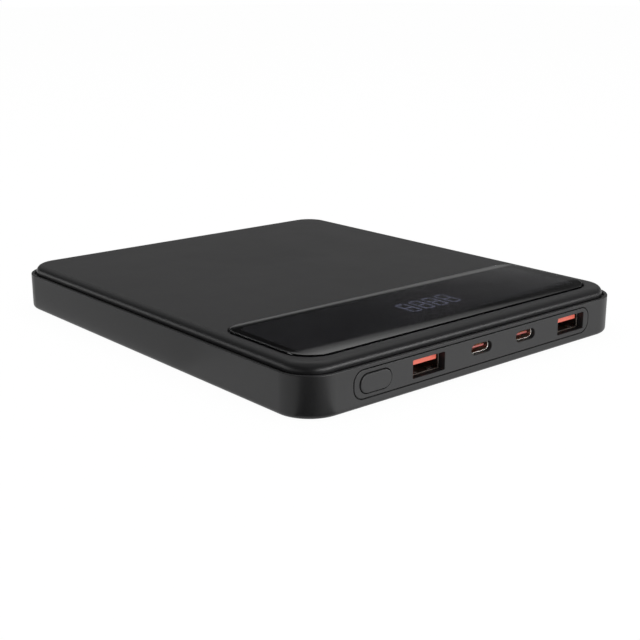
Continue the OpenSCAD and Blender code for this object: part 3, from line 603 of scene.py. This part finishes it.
def snap_hook(name, angle, along):
    """One snap hook, drawn on the -X wall and turned to its own wall."""
    outline = [(3.0, 13.0), (3.0, 10.45), (2.4, 10.45), (2.4, 10.15), (3.0, 9.5), (4.0, 9.5), (4.0, 13.0)]
    wall = (CASE_W if angle in (0, 180) else CASE_D) / 2
    shape = bmesh.new()
    ring = [shape.verts.new(((x - wall) * MM, -HOOK_HALF * MM, z * MM)) for x, z in outline]
    swept = bmesh.ops.extrude_face_region(shape, geom=[shape.faces.new(ring)])["geom"]
    far_end = [v for v in swept if isinstance(v, bmesh.types.BMVert)]
    bmesh.ops.translate(shape, verts=far_end, vec=(0, 2 * HOOK_HALF * MM, 0))
    bmesh.ops.recalc_face_normals(shape, faces=shape.faces)
    shape.transform(Matrix.Rotation(math.radians(angle), 4, "Z") @ Matrix.Translation((0, along * MM, 0)))
    return drawn(name, shape, cover_abs)


combined(cover, "UNION", [
    snap_hook(f"hook_{angle}_{i}", angle, i * pitch)
    for angle, pitch in ((0, SIDE_PITCH), (180, SIDE_PITCH), (-90, BACK_PITCH))
    for i in (-1, 0, 1)
])
combined(cover, "DIFFERENCE", [
    moulded(
        "lens_pocket",
        [(-LENS_GAP, POCKET_Z), (-LENS_GAP, TOP_Z - POCKET_ROUND - 0.1)]
        + round_edge(-LENS_GAP - POCKET_ROUND, TOP_Z - POCKET_ROUND, POCKET_ROUND, 0, 90)
        + [(-LENS_GAP - POCKET_ROUND, TOP_Z + PAST)],
        LENS_W, LENS_D, LENS_FRONT_R, cover_abs, 14, lens_spot, back_radius=LENS_BACK_R,
    ),
    block(
        "display_window", (module_low.x - WINDOW_GAP, module_low.y - WINDOW_GAP, UNDER_Z - PAST),
        (module_high.x + WINDOW_GAP, module_high.y + WINDOW_GAP, POCKET_Z + 0.5), cover_abs,
    ),
])
smoothed(cover)
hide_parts("top_cover")
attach(cover, "housing")

# ---- port panel ----
# A separate moulded strip that closes the port side. It is pressed into the tray's stepped opening from
# outside, and its windows frame the button and the four sockets.

# Black ABS from the roughest of the three moulds, so the strip looks an even dark grey.
panel_abs = moulded_plastic("black_abs_port_strip", "#19191a", 0.42, 0.45, 0.003)

panel_section = (
    [(PANEL_STEP, PANEL_BACK), (PANEL_STEP, FACE - PLATE_T), (0, FACE - PLATE_T), (0, FACE - 0.35)]
    + round_edge(PANEL_EDGE, FACE - PANEL_EDGE, PANEL_EDGE, 180, 90, 3)
    + [(0.4, FACE)]
)
panel = moulded("port_strip", panel_section, PANEL_W, PANEL_H, PANEL_R, panel_abs, 14, panel_spot, FRONT)


def window(name, width, height, radius, edge, steps, at):
    """A cutter for a window through the panel, with a bevel of this size at its edge."""
    section = [(0, PANEL_BACK - PAST), (0, FACE - edge), (-edge - 0.3, FACE + 0.3)]
    return moulded(name, section, width, height, radius, panel_abs, steps, at, FRONT)


button_low, button_high, button_mid = size_of("power_button")
BUTTON_W, BUTTON_H, BUTTON_GAP = 12.2, 5.8, 0.18
HOLE_W, HOLE_H = BUTTON_W + 2 * BUTTON_GAP, BUTTON_H + 2 * BUTTON_GAP
button_spot = (button_mid.x, 0, button_mid.z)
a_boxes = {side: size_of(f"usb_a_shell_{side}") for side in ("left", "right")}
c_boxes = {side: size_of(f"usb_c_shell_{side}") for side in ("left", "right")}
A_SHELL_W, A_SHELL_H, A_WINDOW_W, A_WINDOW_H = 13.1, 5.7, 13.4, 5.6
C_SHELL_W, C_SHELL_H, C_WINDOW_GAP = 8.94, 3.16, 0.1
C_WINDOW_W, C_WINDOW_H = C_SHELL_W + 2 * C_WINDOW_GAP, C_SHELL_H + 2 * C_WINDOW_GAP
a_spots = {side: (box[2].x, 0, box[1].z - A_SHELL_H / 2) for side, box in a_boxes.items()}
c_spots = {side: (box[2].x, 0, box[1].z - C_SHELL_H / 2) for side, box in c_boxes.items()}
combined(panel, "DIFFERENCE", [
    window(f"a_window_{side}", A_WINDOW_W, A_WINDOW_H, 0.4, 0.1, 4, spot)
    for side, spot in a_spots.items()
] + [
    window(f"c_window_{side}", C_WINDOW_W, C_WINDOW_H, C_WINDOW_H / 2, 0.14, 8, spot)
    for side, spot in c_spots.items()
] + [
    window("button_window", HOLE_W, HOLE_H, HOLE_H / 2, 0.12, 14, button_spot)
])
smoothed(panel)
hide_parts("port_panel")
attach(panel, "housing")

# ---- power button ----
# A pill-shaped ABS cap with a soft edge. A flange behind the panel keeps it in, and a post on its back
# pushes the switch on the board.

# The same finish as the strip round it, so the cap shows by its gap and its edge alone.
button_abs = moulded_plastic("black_abs_button", "#19191a", 0.42, 0.45, 0.003)

FLANGE_W, FLANGE_IN, FLANGE_OUT, CAP_ROUND = 0.8, 79.35, 80.15, 0.35
cap_front = -button_low.y
button_section = (
    [(-FLANGE_W, FLANGE_IN), (-FLANGE_W, FLANGE_OUT), (0, FLANGE_OUT), (0, cap_front - 0.8)]
    + round_edge(CAP_ROUND, cap_front - CAP_ROUND, CAP_ROUND, 180, 90, 5)
    + [(0.8, cap_front)]
)
button = moulded(
    "button_cap", button_section, BUTTON_W, BUTTON_H, BUTTON_H / 2, button_abs, 14, button_spot, FRONT
)
plunger_low, plunger_high, _ = size_of("switch_plunger")
combined(button, "UNION", [
    block(
        "button_post", (plunger_low.x, -FLANGE_IN - BITE, plunger_low.z),
        (plunger_high.x, button_high.y, plunger_high.z), button_abs,
    ),
])
smoothed(button)
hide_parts("power_button")
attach(button, "button")

# ---- USB-A sockets ----
# Stamped and folded steel shells, tin plated, with sprung leaves in the top and bottom. Inside each is
# an orange nylon tongue on a block that plugs the back of the shell, with four gilt contacts under it.


def plated_metal(name, colour, roughness, grain):
    """Plated sheet metal: grain is the spacing in millimetres of the lines that rolling leaves along Y,
    drawn coarser than real ones so that they show."""
    made, tree, spot, surface = patterned(name)
    along = add_node(tree, "ShaderNodeMapping", {"Vector": spot, "Scale": (1.0, 0.08, 1.0)})
    lines = add_node(tree, "ShaderNodeTexNoise", {"Vector": along, "Scale": 1 / (grain * MM), "Detail": 2.0})
    polish = add_node(tree, "ShaderNodeMapRange", {
        "Value": lines, **SPREAD, "To Min": roughness - 0.06, "To Max": roughness + 0.06,
    })
    bump = add_node(tree, "ShaderNodeBump", {"Height": lines, "Strength": 0.4, "Distance": 0.002 * MM})
    connect(surface, {"Base Color": linear(colour), "Metallic": 1.0, "Roughness": polish, "Normal": bump})
    return made


# Nickel is bright and a little warm, and gilt bronze is a soft yellow. Tin is a dull grey, drawn dark grey
# here: partly its own dullness, partly painted shade inside the sockets.
nickel_plate = plated_metal("nickel_plated_steel", "#dcd9d2", 0.3, 0.12)
shaded_tin_plate = plated_metal("dull_tin_plated_steel", "#66605b", 0.48, 0.2)
gilt_plate = plated_metal("gold_flashed_bronze", "#d9b25c", 0.28, 0.1)
# Glass-filled nylon is an even, half-matt orange.
orange_nylon = moulded_plastic("orange_glass_filled_nylon", "#ec715d", 0.38, 0.3, 0.002)

SHEET_T, HAIR = 0.3, 0.001  # the sheet, and how much a leg stays inside each of its faces
a_front, a_back = -a_boxes["left"][0].y, -a_boxes["left"][1].y
a_inner = (A_SHELL_W - 2 * SHEET_T, A_SHELL_H - 2 * SHEET_T, 0.35)  # width, height and corner radius
A_LEG_W, A_LEGS = 1.4, (3.0, 9.5)
LEAF_AT, LEAF_HALF, LEAF_HALF_T, LEAF_HIGHLIGHT_FROM = 3.2, 0.9, 0.11, 78.0
SLOT_HALF, SLOT_BACK, SLOT_FRONT, SLOT_CUT = 1.1, 73.6, 79.6, 0.6
A_TONGUE_W, A_TONGUE_LOW, A_TONGUE_T, A_BLOCK_L = 11.1, 0.2, 1.84, 3.0
A_CONTACT_W, A_CONTACT_STEP = 1.0, 2.5


def sprung_leaf(name, x, wall, side):
    """A sprung leaf: it leaves the wall at the back, rises towards the plug and turns back at its tip."""
    path = [
        (73.4, 0.0), (74.2, 0.03), (75.4, 0.16), (76.6, 0.34), (77.6, 0.48), (78.3, 0.53),
        (78.8, 0.5), (79.2, 0.36), (79.5, 0.12),
    ]
    corners = [(LEAF_HALF * across, LEAF_HALF_T * up) for across, up in ((-1, -1), (1, -1), (1, 1), (-1, 1))]
    shape = bmesh.new()
    rings = [
        [shape.verts.new(((x + dx) * MM, -y * MM, (wall - side * rise + dz) * MM)) for dx, dz in corners]
        for y, rise in path
    ]
    for near, far, (y, _) in zip(rings, rings[1:], path):
        for i in range(4):
            made = shape.faces.new((near[i], near[(i + 1) % 4], far[(i + 1) % 4], far[i]))
            made.material_index = int(y > LEAF_HIGHLIGHT_FROM)  # the raised tip is bright nickel, a painted highlight on its bend
    shape.faces.new(rings[0])
    shape.faces.new(rings[-1])
    bmesh.ops.recalc_face_normals(shape, faces=shape.faces)
    return drawn(name, shape, shaded_tin_plate, nickel_plate)


def shell_legs(x, shell_width, places, leg_width, low, high, material):
    """Solder legs that run down from both sides of a shell, at these places along Y."""
    half_t, half_w = SHEET_T / 2 - HAIR, (shell_width - SHEET_T) / 2
    return [
        block(
            "leg", (x + side * half_w - half_t, y - leg_width / 2, low),
            (x + side * half_w + half_t, y + leg_width / 2, high), material,
        )
        for side in (-1, 1)
        for y in places
    ]


for side, spot in a_spots.items():
    x, _, a_z = spot
    shell_section = [(0, a_back), (0, a_front - 0.1), (0.08, a_front), (0.12, a_front)]
    shell = moulded(f"usb_a_can_{side}", shell_section, A_SHELL_W, A_SHELL_H, 0.5, shaded_tin_plate, 5, spot, FRONT)
    inside_section = [(0, a_back - PAST), (0, a_front - 0.1), (-0.3, a_front + 0.2)]
    leaves = [
        (x + across * LEAF_AT, a_z + up * A_SHELL_H / 2, a_z + up * (A_SHELL_H - SHEET_T) / 2, up)
        for across in (-1, 1)
        for up in (-1, 1)
    ]
    combined(shell, "DIFFERENCE", [
        moulded("a_inside", inside_section, *a_inner, shaded_tin_plate, 5, spot, FRONT)
    ] + [
        block(
            "leaf_slot", (leaf_x - SLOT_HALF, -SLOT_FRONT, outside - SLOT_CUT),
            (leaf_x + SLOT_HALF, -SLOT_BACK, outside + SLOT_CUT), shaded_tin_plate,
        )
        for leaf_x, outside, _, _ in leaves
    ])
    leg_places = [y - a_front for y in A_LEGS]
    leg_low, leg_high = a_boxes[side][0].z, a_z - A_SHELL_H / 2 + SHEET_T + 0.2
    combined(shell, "UNION", [
        sprung_leaf("leaf", leaf_x, wall, up) for leaf_x, _, wall, up in leaves
    ] + shell_legs(x, A_SHELL_W, leg_places, A_LEG_W, leg_low, leg_high, shaded_tin_plate))
    smoothed(shell, 40)
    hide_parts(f"usb_a_shell_{side}")
    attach(shell, "housing")

    tip = -size_of(f"usb_a_tongue_{side}")[0].y
    block_front = a_back + A_BLOCK_L
    tongue = moulded(
        f"usb_a_blade_{side}",
        [(0, block_front - 0.1), (0, tip - 0.15), (0.06, tip - 0.03), (0.15, tip)],
        A_TONGUE_W, A_TONGUE_T, 0.2, orange_nylon, 3, (x, 0, a_z + A_TONGUE_LOW + A_TONGUE_T / 2), FRONT,
    )
    block_section = [(0, a_back), (0, block_front - 0.1), (0.1, block_front)]
    combined(tongue, "UNION", [moulded("a_block", block_section, *a_inner, orange_nylon, 5, spot, FRONT)])
    smoothed(tongue)
    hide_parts(f"usb_a_tongue_{side}")
    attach(tongue, "housing")

    strip_low, strip_high, _ = size_of(f"usb_a_contacts_{side}")
    contacts, right_pair = [
        copied(
            block(
                f"usb_a_strips_{side}", (left, strip_low.y, strip_low.z),
                (left + A_CONTACT_W, strip_high.y, strip_high.z), gilt_plate,
            ),
            2, (A_CONTACT_STEP, 0, 0),
        )
        for left in (strip_low.x, strip_high.x - A_CONTACT_STEP - A_CONTACT_W)
    ]
    combined(contacts, "UNION", [right_pair])
    smoothed(contacts)
    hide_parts(f"usb_a_contacts_{side}")
    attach(contacts, "housing")

# ---- USB-C sockets ----
# Seamless drawn steel shells with round ends, their mouths just inside the panel. Each orange tongue has
# twelve narrow contacts on each face, and its block stands on the board. Their orange is drawn darker than
# the USB-A one, as painted shade deep inside the shell.

# Darker orange: painted shade on a tongue set deep in its shell.
shaded_nylon = moulded_plastic("dusky_orange_nylon", "#b5605a", 0.4, 0.3, 0.002)

c_front, c_back = -c_boxes["left"][0].y, -c_boxes["left"][1].y
c_inner = (C_SHELL_W - 2 * SHEET_T, C_SHELL_H - 2 * SHEET_T, C_SHELL_H / 2 - SHEET_T)
C_LEG_W, C_LEGS = 0.98, (1.4, 4.6)
C_TONGUE_W, C_TONGUE_T, C_BLOCK_L, C_BACK_IN, C_FOOT_IN = 6.7, 0.7, 2.4, 0.5, 0.3
C_CONTACT_W, C_CONTACT_T, C_CONTACT_PITCH = 0.26, 0.08, 0.5

for side, spot in c_spots.items():
    x, _, c_z = spot
    shell_section = [(0, c_back), (0, c_front - 0.12), (0.04, c_front - 0.04), (0.12, c_front)]
    name, radius = f"usb_c_can_{side}", C_SHELL_H / 2
    shell = moulded(name, shell_section, C_SHELL_W, C_SHELL_H, radius, nickel_plate, 10, spot, FRONT)
    inside_section = [
        (0, c_back - PAST), (0, c_front - 0.14), (-0.05, c_front - 0.04), (-0.14, c_front + 0.02),
    ]
    inside = moulded("c_inside", inside_section, *c_inner, nickel_plate, 10, spot, FRONT)
    combined(shell, "DIFFERENCE", [inside])
    leg_places = [board_low.y + y for y in C_LEGS]
    legs = shell_legs(x, C_SHELL_W, leg_places, C_LEG_W, c_boxes[side][0].z, c_z, nickel_plate)
    combined(shell, "UNION", legs)
    smoothed(shell, 40)
    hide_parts(f"usb_c_shell_{side}")
    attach(shell, "housing")

    tongue_low, tongue_high, _ = size_of(f"usb_c_tongue_{side}")
    tip = -tongue_low.y
    blade_section = [(0, c_back + C_BLOCK_L - 0.1), (0, tip - 0.2), (0.08, tip - 0.05), (0.2, tip)]
    tongue = moulded(
        f"usb_c_blade_{side}", blade_section, C_TONGUE_W, C_TONGUE_T, 0.3, shaded_nylon, 4, spot, FRONT
    )
    back_half, foot_half = C_SHELL_W / 2 - C_BACK_IN, C_SHELL_W / 2 - SHEET_T - C_FOOT_IN
    combined(tongue, "UNION", [
        moulded("c_block", [(0, c_back), (0, c_back + C_BLOCK_L)], *c_inner, shaded_nylon, 10, spot, FRONT),
        block(
            "c_back", (x - back_half, -c_back - BITE, c_z - C_SHELL_H / 2),
            (x + back_half, tongue_high.y, c_z + C_SHELL_H / 2), shaded_nylon,
        ),
        block(
            "c_foot", (x - foot_half, board_low.y + C_FOOT_IN, board_high.z),
            (x + foot_half, tongue_high.y, c_z - C_SHELL_H / 2), shaded_nylon,
        ),
    ])
    smoothed(tongue)
    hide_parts(f"usb_c_tongue_{side}")
    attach(tongue, "housing")

    strip_low, strip_high, _ = size_of(f"usb_c_contacts_{side}")
    first_end = (strip_low.x + C_CONTACT_W, strip_high.y, strip_low.z + C_CONTACT_T)
    first_strip = block(f"usb_c_strips_{side}", strip_low, first_end, gilt_plate)
    between_faces = (0, 0, strip_high.z - strip_low.z - C_CONTACT_T)
    contacts = copied(first_strip, 12, (C_CONTACT_PITCH, 0, 0), 2, between_faces)
    smoothed(contacts)
    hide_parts(f"usb_c_contacts_{side}")
    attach(contacts, "housing")

# ---- display lens ----
# The glossy panel over the digits: smoked acrylic, 1.35 mm thick, polished to a soft edge all round and
# rolled down along the port side. An adhesive frame holds it in the cover's pocket.

# Polished and nearly opaque: it mirrors the studio, and only the lit digits show through it.
smoked_acrylic, tree, spot, surface = patterned("smoked_acrylic_polished")
waves = add_node(tree, "ShaderNodeTexNoise", {"Vector": spot, "Scale": 1 / (24 * MM), "Detail": 1.0})
ripple = add_node(tree, "ShaderNodeBump", {"Height": waves, "Strength": 0.25, "Distance": 0.03 * MM})
wipes = add_node(tree, "ShaderNodeTexNoise", {"Vector": spot, "Scale": 1 / (15 * MM), "Detail": 3.0})
polish = add_node(tree, "ShaderNodeMapRange", {
    "Value": wipes, "From Min": 0.35, "From Max": 0.7, "To Min": 0.05, "To Max": 0.09,
})
connect(surface, {
    "Base Color": linear("#4a4a4e"),
    "Roughness": polish,
    "IOR": 1.49,
    "Transmission Weight": 1.0,
    "Normal": ripple,
})

LENS_TOP, LENS_LOW, EDGE_W, EDGE_DROP = lens_high.z, lens_low.z, 0.22, 0.12
ROLL_L, ROLL_DROP, CROWN_L, CROWN_DROP = 8.0, 0.4, 4.5, 0.17
lens_section = (
    [(0.12, LENS_LOW), (0, LENS_LOW + 0.12)]
    + [(0, LENS_TOP - EDGE_DROP - 0.1), (0.04, LENS_TOP - EDGE_DROP - 0.02)]
    + [
        (EDGE_W * t, LENS_TOP - EDGE_DROP * (1 - t) ** 2)
        for t in (0.05, 0.12, 0.22, 0.34, 0.48, 0.64, 0.82, 1.0)
    ]
    + [(EDGE_W + 0.4, LENS_TOP)]
)
lens = moulded(
    "glossy_panel", lens_section, LENS_W, LENS_D, LENS_FRONT_R, smoked_acrylic, 16, lens_spot,
    back_radius=LENS_BACK_R,
)
# The roll along the port side and the crown along the rear need rows of points to bend at.
shape = bmesh.new()
shape.from_mesh(lens.data)
roll_rows = [lens_low.y + ROLL_L * i / 20 for i in range(1, 21)]
crown_rows = [lens_high.y - CROWN_L * i / 10 for i in range(1, 11)]
for y in roll_rows + crown_rows:
    everything = shape.verts[:] + shape.edges[:] + shape.faces[:]
    bmesh.ops.bisect_plane(shape, geom=everything, dist=1e-8, plane_co=(0, y * MM, 0), plane_no=(0, 1, 0))
for v in shape.verts:
    edge_drop = LENS_TOP - v.co.z / MM
    in_roll = max(1 - (v.co.y / MM - lens_low.y) / ROLL_L, 0)
    in_crown = max(1 - (lens_high.y - v.co.y / MM) / CROWN_L, 0)
    if edge_drop < EDGE_DROP + 0.03:
        fall = ROLL_DROP * in_roll**2 + CROWN_DROP * in_crown**2
        v.co.z = (LENS_TOP - max(edge_drop, 0) - fall) * MM
shape.to_mesh(lens.data)
shape.free()
smoothed(lens)
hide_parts("display_lens")
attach(lens, "housing")

# ---- display ----
# A black block on the board with four seven-segment digits. Dim violet light bars shine up through the
# smoked panel.

segment_glow, tree, spot, surface = patterned("violet_light_bars")
spread = add_node(tree, "ShaderNodeTexNoise", {"Vector": spot, "Scale": 1 / (1.6 * MM), "Detail": 1.0})
level = add_node(tree, "ShaderNodeMapRange", {"Value": spread, **SPREAD, "To Min": 1.4, "To Max": 3.0})
connect(surface, {
    "Base Color": linear("#b9b8cc"),
    "Roughness": 0.6,
    "Emission Color": linear("#dfe4ff"),
    "Emission Strength": level,
})
dressed("display_segments", segment_glow)
dressed("display_module", moulded_plastic("black_display_housing", "#0e0e10", 0.6, 0.5, 0.004))

# ---- lens tape ----
# A thin frame of black acrylic foam tape, die-cut to the glossy panel's outline, that holds the panel in
# its pocket. Fine open cells make it matt.

foam_tape, tree, spot, surface = patterned("black_acrylic_foam_tape")
cells = add_node(tree, "ShaderNodeTexVoronoi", {"Vector": spot, "Scale": 1 / (0.25 * MM)})
pits = add_node(tree, "ShaderNodeBump", {"Height": cells, "Strength": 0.6, "Distance": 0.02 * MM})
connect(surface, {"Base Color": linear("#141414"), "Roughness": 0.85, "Normal": pits})
dressed("lens_tape", foam_tape)

# ---- power switch ----
# A side-push tact switch soldered to the board behind the button: a pale nylon body and a black plunger.

dressed("switch_body", moulded_plastic("pale_nylon_switch_body", "#c4c1b5", 0.5, 0.3, 0.002))
dressed("switch_plunger", moulded_plastic("black_nylon_plunger", "#202023", 0.45, 0.3, 0.002))

# ---- main board ----
# A 1.6 mm glass-epoxy board, with copper tracks showing through the green solder mask on both faces and
# bare laminate on its milled edges. It stands on the tray's four bosses.

laminate, tree, spot, surface = patterned("green_masked_board_laminate")
flat = add_node(tree, "ShaderNodeMapping", {"Vector": spot, "Scale": (1.0, 1.0, 0.0)})
tracks = add_node(tree, "ShaderNodeTexVoronoi", {
    "Vector": flat, "Scale": 1 / (5.5 * MM), "Randomness": 0.7,
}, distance="CHEBYCHEV")
lines = add_node(tree, "ShaderNodeTexWave", {
    "Vector": tracks.outputs["Position"], "Scale": 90.0, "Distortion": 1.5,
}, wave_type="BANDS", bands_direction="DIAGONAL")
rings = add_node(tree, "ShaderNodeMath", {0: tracks, 1: 9.0}, operation="MULTIPLY")
saw = add_node(tree, "ShaderNodeMath", {0: rings}, operation="FRACT")
copper = add_node(tree, "ShaderNodeMapRange", {"Value": saw, "From Min": 0.62, "From Max": 0.7})
patchy = add_node(tree, "ShaderNodeMath", {0: copper, 1: lines.outputs["Fac"]}, operation="MULTIPLY")
greens = {"A": linear("#0f4a2c"), "B": linear("#2b7a4a")}
mask = add_node(tree, "ShaderNodeMix", {"Factor": patchy, **greens}, data_type="RGBA").outputs["Result"]
aim = add_node(tree, "ShaderNodeSeparateXYZ", {0: spot.node.outputs["Normal"]}).outputs
upright = add_node(tree, "ShaderNodeMath", {0: aim["Z"]}, operation="ABSOLUTE")
face = add_node(tree, "ShaderNodeMath", {0: upright, 1: 0.7}, operation="GREATER_THAN")
skins = {"A": linear("#b09a5a"), "B": mask}
skin = add_node(tree, "ShaderNodeMix", {"Factor": face, **skins}, data_type="RGBA").outputs["Result"]
ridges = add_node(tree, "ShaderNodeBump", {"Height": patchy, "Strength": 0.5, "Distance": 0.03 * MM})
connect(surface, {"Base Color": skin, "Roughness": 0.38, "Normal": ridges})
dressed("main_board", laminate)

# ---- board screws ----
# Four zinc-plated pan-head screws with a cross recess, driven down through the board into the bosses.

zinc_plate = plated_metal("zinc_plated_steel", "#c3c7cc", 0.34, 0.15)

screws_low, screws_high, _ = size_of("board_screws")
HEAD_R, HEAD_EDGE, HEAD_ROUND, SHANK_R, TIP_L = 1.8, 0.4, 0.7, 0.85, 0.8
RECESS_D, RECESS_L, RECESS_T = 0.6, 1.0, 0.25
shank_in, round_z = HEAD_R - SHANK_R, board_high.z + HEAD_EDGE
first_x, first_y, _ = screw_spots[0]
screw_section = (
    [(HEAD_R - 0.1, screws_low.z), (shank_in, screws_low.z + TIP_L), (shank_in, board_high.z)]
    + [(0, board_high.z), (0, round_z)]
    + round_edge(HEAD_ROUND, round_z, HEAD_ROUND, 180, 90, 5)
)
screw = turned("board_screw", screw_section, HEAD_R, zinc_plate, 8, screw_spots[0])
combined(screw, "DIFFERENCE", [
    block(
        "recess", (first_x - dx, first_y - dy, screws_high.z - RECESS_D),
        (first_x + dx, first_y + dy, screws_high.z + PAST), zinc_plate,
    )
    for dx, dy in ((RECESS_L, RECESS_T), (RECESS_T, RECESS_L))
])
span_x, span_y = screw_spots[3][0] - first_x, screw_spots[1][1] - first_y
screws = copied(screw, 2, (span_x, 0, 0), 2, (0, span_y, 0))
smoothed(screws)
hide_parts("board_screws")
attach(screws, "housing")

# ---- board parts ----
# Black epoxy packages for the controllers and power transistors, pressed iron-powder inductors, and
# aluminium can capacitors with a crimped neck, all soldered flat on the board.

black_epoxy = moulded_plastic("black_epoxy_package", "#19191b", 0.6, 0.15, 0.004)
dressed("controller_chips", black_epoxy)
dressed("power_transistors", black_epoxy)
dressed("power_inductors", moulded_plastic("pressed_iron_powder", "#4b4b4f", 0.7, 0.2, 0.02, gloss=0.5))

aluminium = plated_metal("drawn_aluminium_can", "#b9bcc0", 0.32, 0.2)

CAN_R, CAN_STEP, ROW_STEP, CAN_ROUND = 2.6, 6.5, 8, 0.3
NECK_IN, NECK_LOW, NECK_HIGH, NECK_SLOPE = 0.25, 0.95, 1.15, 0.25
foot_z, can_top = board_high.z, size_of("capacitors")[1].z
can_section = (
    [(0, foot_z), (0, foot_z + NECK_LOW - NECK_SLOPE), (NECK_IN, foot_z + NECK_LOW)]
    + [(NECK_IN, foot_z + NECK_HIGH), (0, foot_z + NECK_HIGH + NECK_SLOPE), (0, can_top - CAN_ROUND)]
    + round_edge(CAN_ROUND, can_top - CAN_ROUND, CAN_ROUND, 180, 90)
)
near_x, front_y = module_low.x - CAN_R - 1.2, board_low.y
first_can, *lone_cans = [
    turned(name, can_section, CAN_R, aluminium, 7, (x, y, 0))
    for name, x, y in (
        ("can_capacitors", near_x - CAN_STEP, front_y + 21),
        ("lone_can_left", 26, front_y + 14.5),
        ("lone_can_right", board_high.x - 5, front_y + 14.8),
    )
]
cans = copied(first_can, 2, (CAN_STEP, 0, 0), 2, (0, ROW_STEP, 0))
combined(cans, "UNION", lone_cans)
smoothed(cans)
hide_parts("capacitors")
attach(cans, "housing")

# ---- battery ----
# Four lithium-polymer pouch cells in crinkled aluminium laminate, on foam strips. Their nickel tabs are
# joined by spot-welded nickel strips over yellow polyimide tape, and two silicone leads run to the board.

# Laminated foil, drawn over the cell: creases catch the light over a soft metallic sheen.
pouch_foil, tree, spot, surface = patterned("aluminium_laminate_pouch")
creases = add_node(tree, "ShaderNodeTexNoise", {
    "Vector": spot, "Scale": 1 / (9 * MM), "Detail": 5.0, "Distortion": 0.6,
})
crumple = add_node(tree, "ShaderNodeBump", {"Height": creases, "Strength": 0.5, "Distance": 0.5 * MM})
sheen = add_node(tree, "ShaderNodeMapRange", {"Value": creases, **SPREAD, "To Min": 0.32, "To Max": 0.45})
connect(surface, {
    "Base Color": linear("#b4b7ba"),
    "Metallic": 0.85,
    "Roughness": sheen,
    "Normal": crumple,
})
for cell in ("cell_front_left", "cell_front_right", "cell_back_left", "cell_back_right"):
    dressed(cell, pouch_foil)


def two_toned(name, pattern, settings, size, colours, roughness, strength, depth):
    """A sheet whose pattern, at this size in millimetres, shades it between two colours and raises it."""
    made, tree, spot, surface = patterned(name)
    marks = add_node(tree, pattern, {"Vector": spot, "Scale": 1 / (size * MM), **settings})
    ends = {"A": linear(colours[0]), "B": linear(colours[1])}
    tone = add_node(tree, "ShaderNodeMix", {"Factor": marks, **ends}, data_type="RGBA").outputs["Result"]
    bump = add_node(tree, "ShaderNodeBump", {"Height": marks, "Strength": strength, "Distance": depth * MM})
    connect(surface, {"Base Color": tone, "Roughness": roughness, "Normal": bump})
    return made


# Closed-cell foam: matt grey, with a fine pattern of bubbles.
dressed("cell_pads", two_toned(
    "grey_polyethylene_foam", "ShaderNodeTexVoronoi", {}, 0.7, ("#4e4f52", "#77787b"), 0.9, 0.8, 0.1
))
dressed("cell_tabs", plated_metal("nickel_tab", "#c5c2bb", 0.3, 0.25))
dressed("cell_links", plated_metal("pure_nickel_strip", "#b2aea5", 0.36, 0.3))
# Polyimide film: smooth, glossy amber with shallow wrinkles where it was pressed down.
dressed("cell_tape", two_toned(
    "amber_polyimide_tape", "ShaderNodeTexNoise", {"Detail": 3.0}, 4, ("#a8690f", "#c98a24"), 0.22, 0.3, 0.05
))
dressed("lead_positive", moulded_plastic("red_silicone_sleeve", "#b02a28", 0.45, 0.6, 0.002))
dressed("lead_negative", moulded_plastic("black_silicone_sleeve", "#1b1b1d", 0.45, 0.6, 0.002))
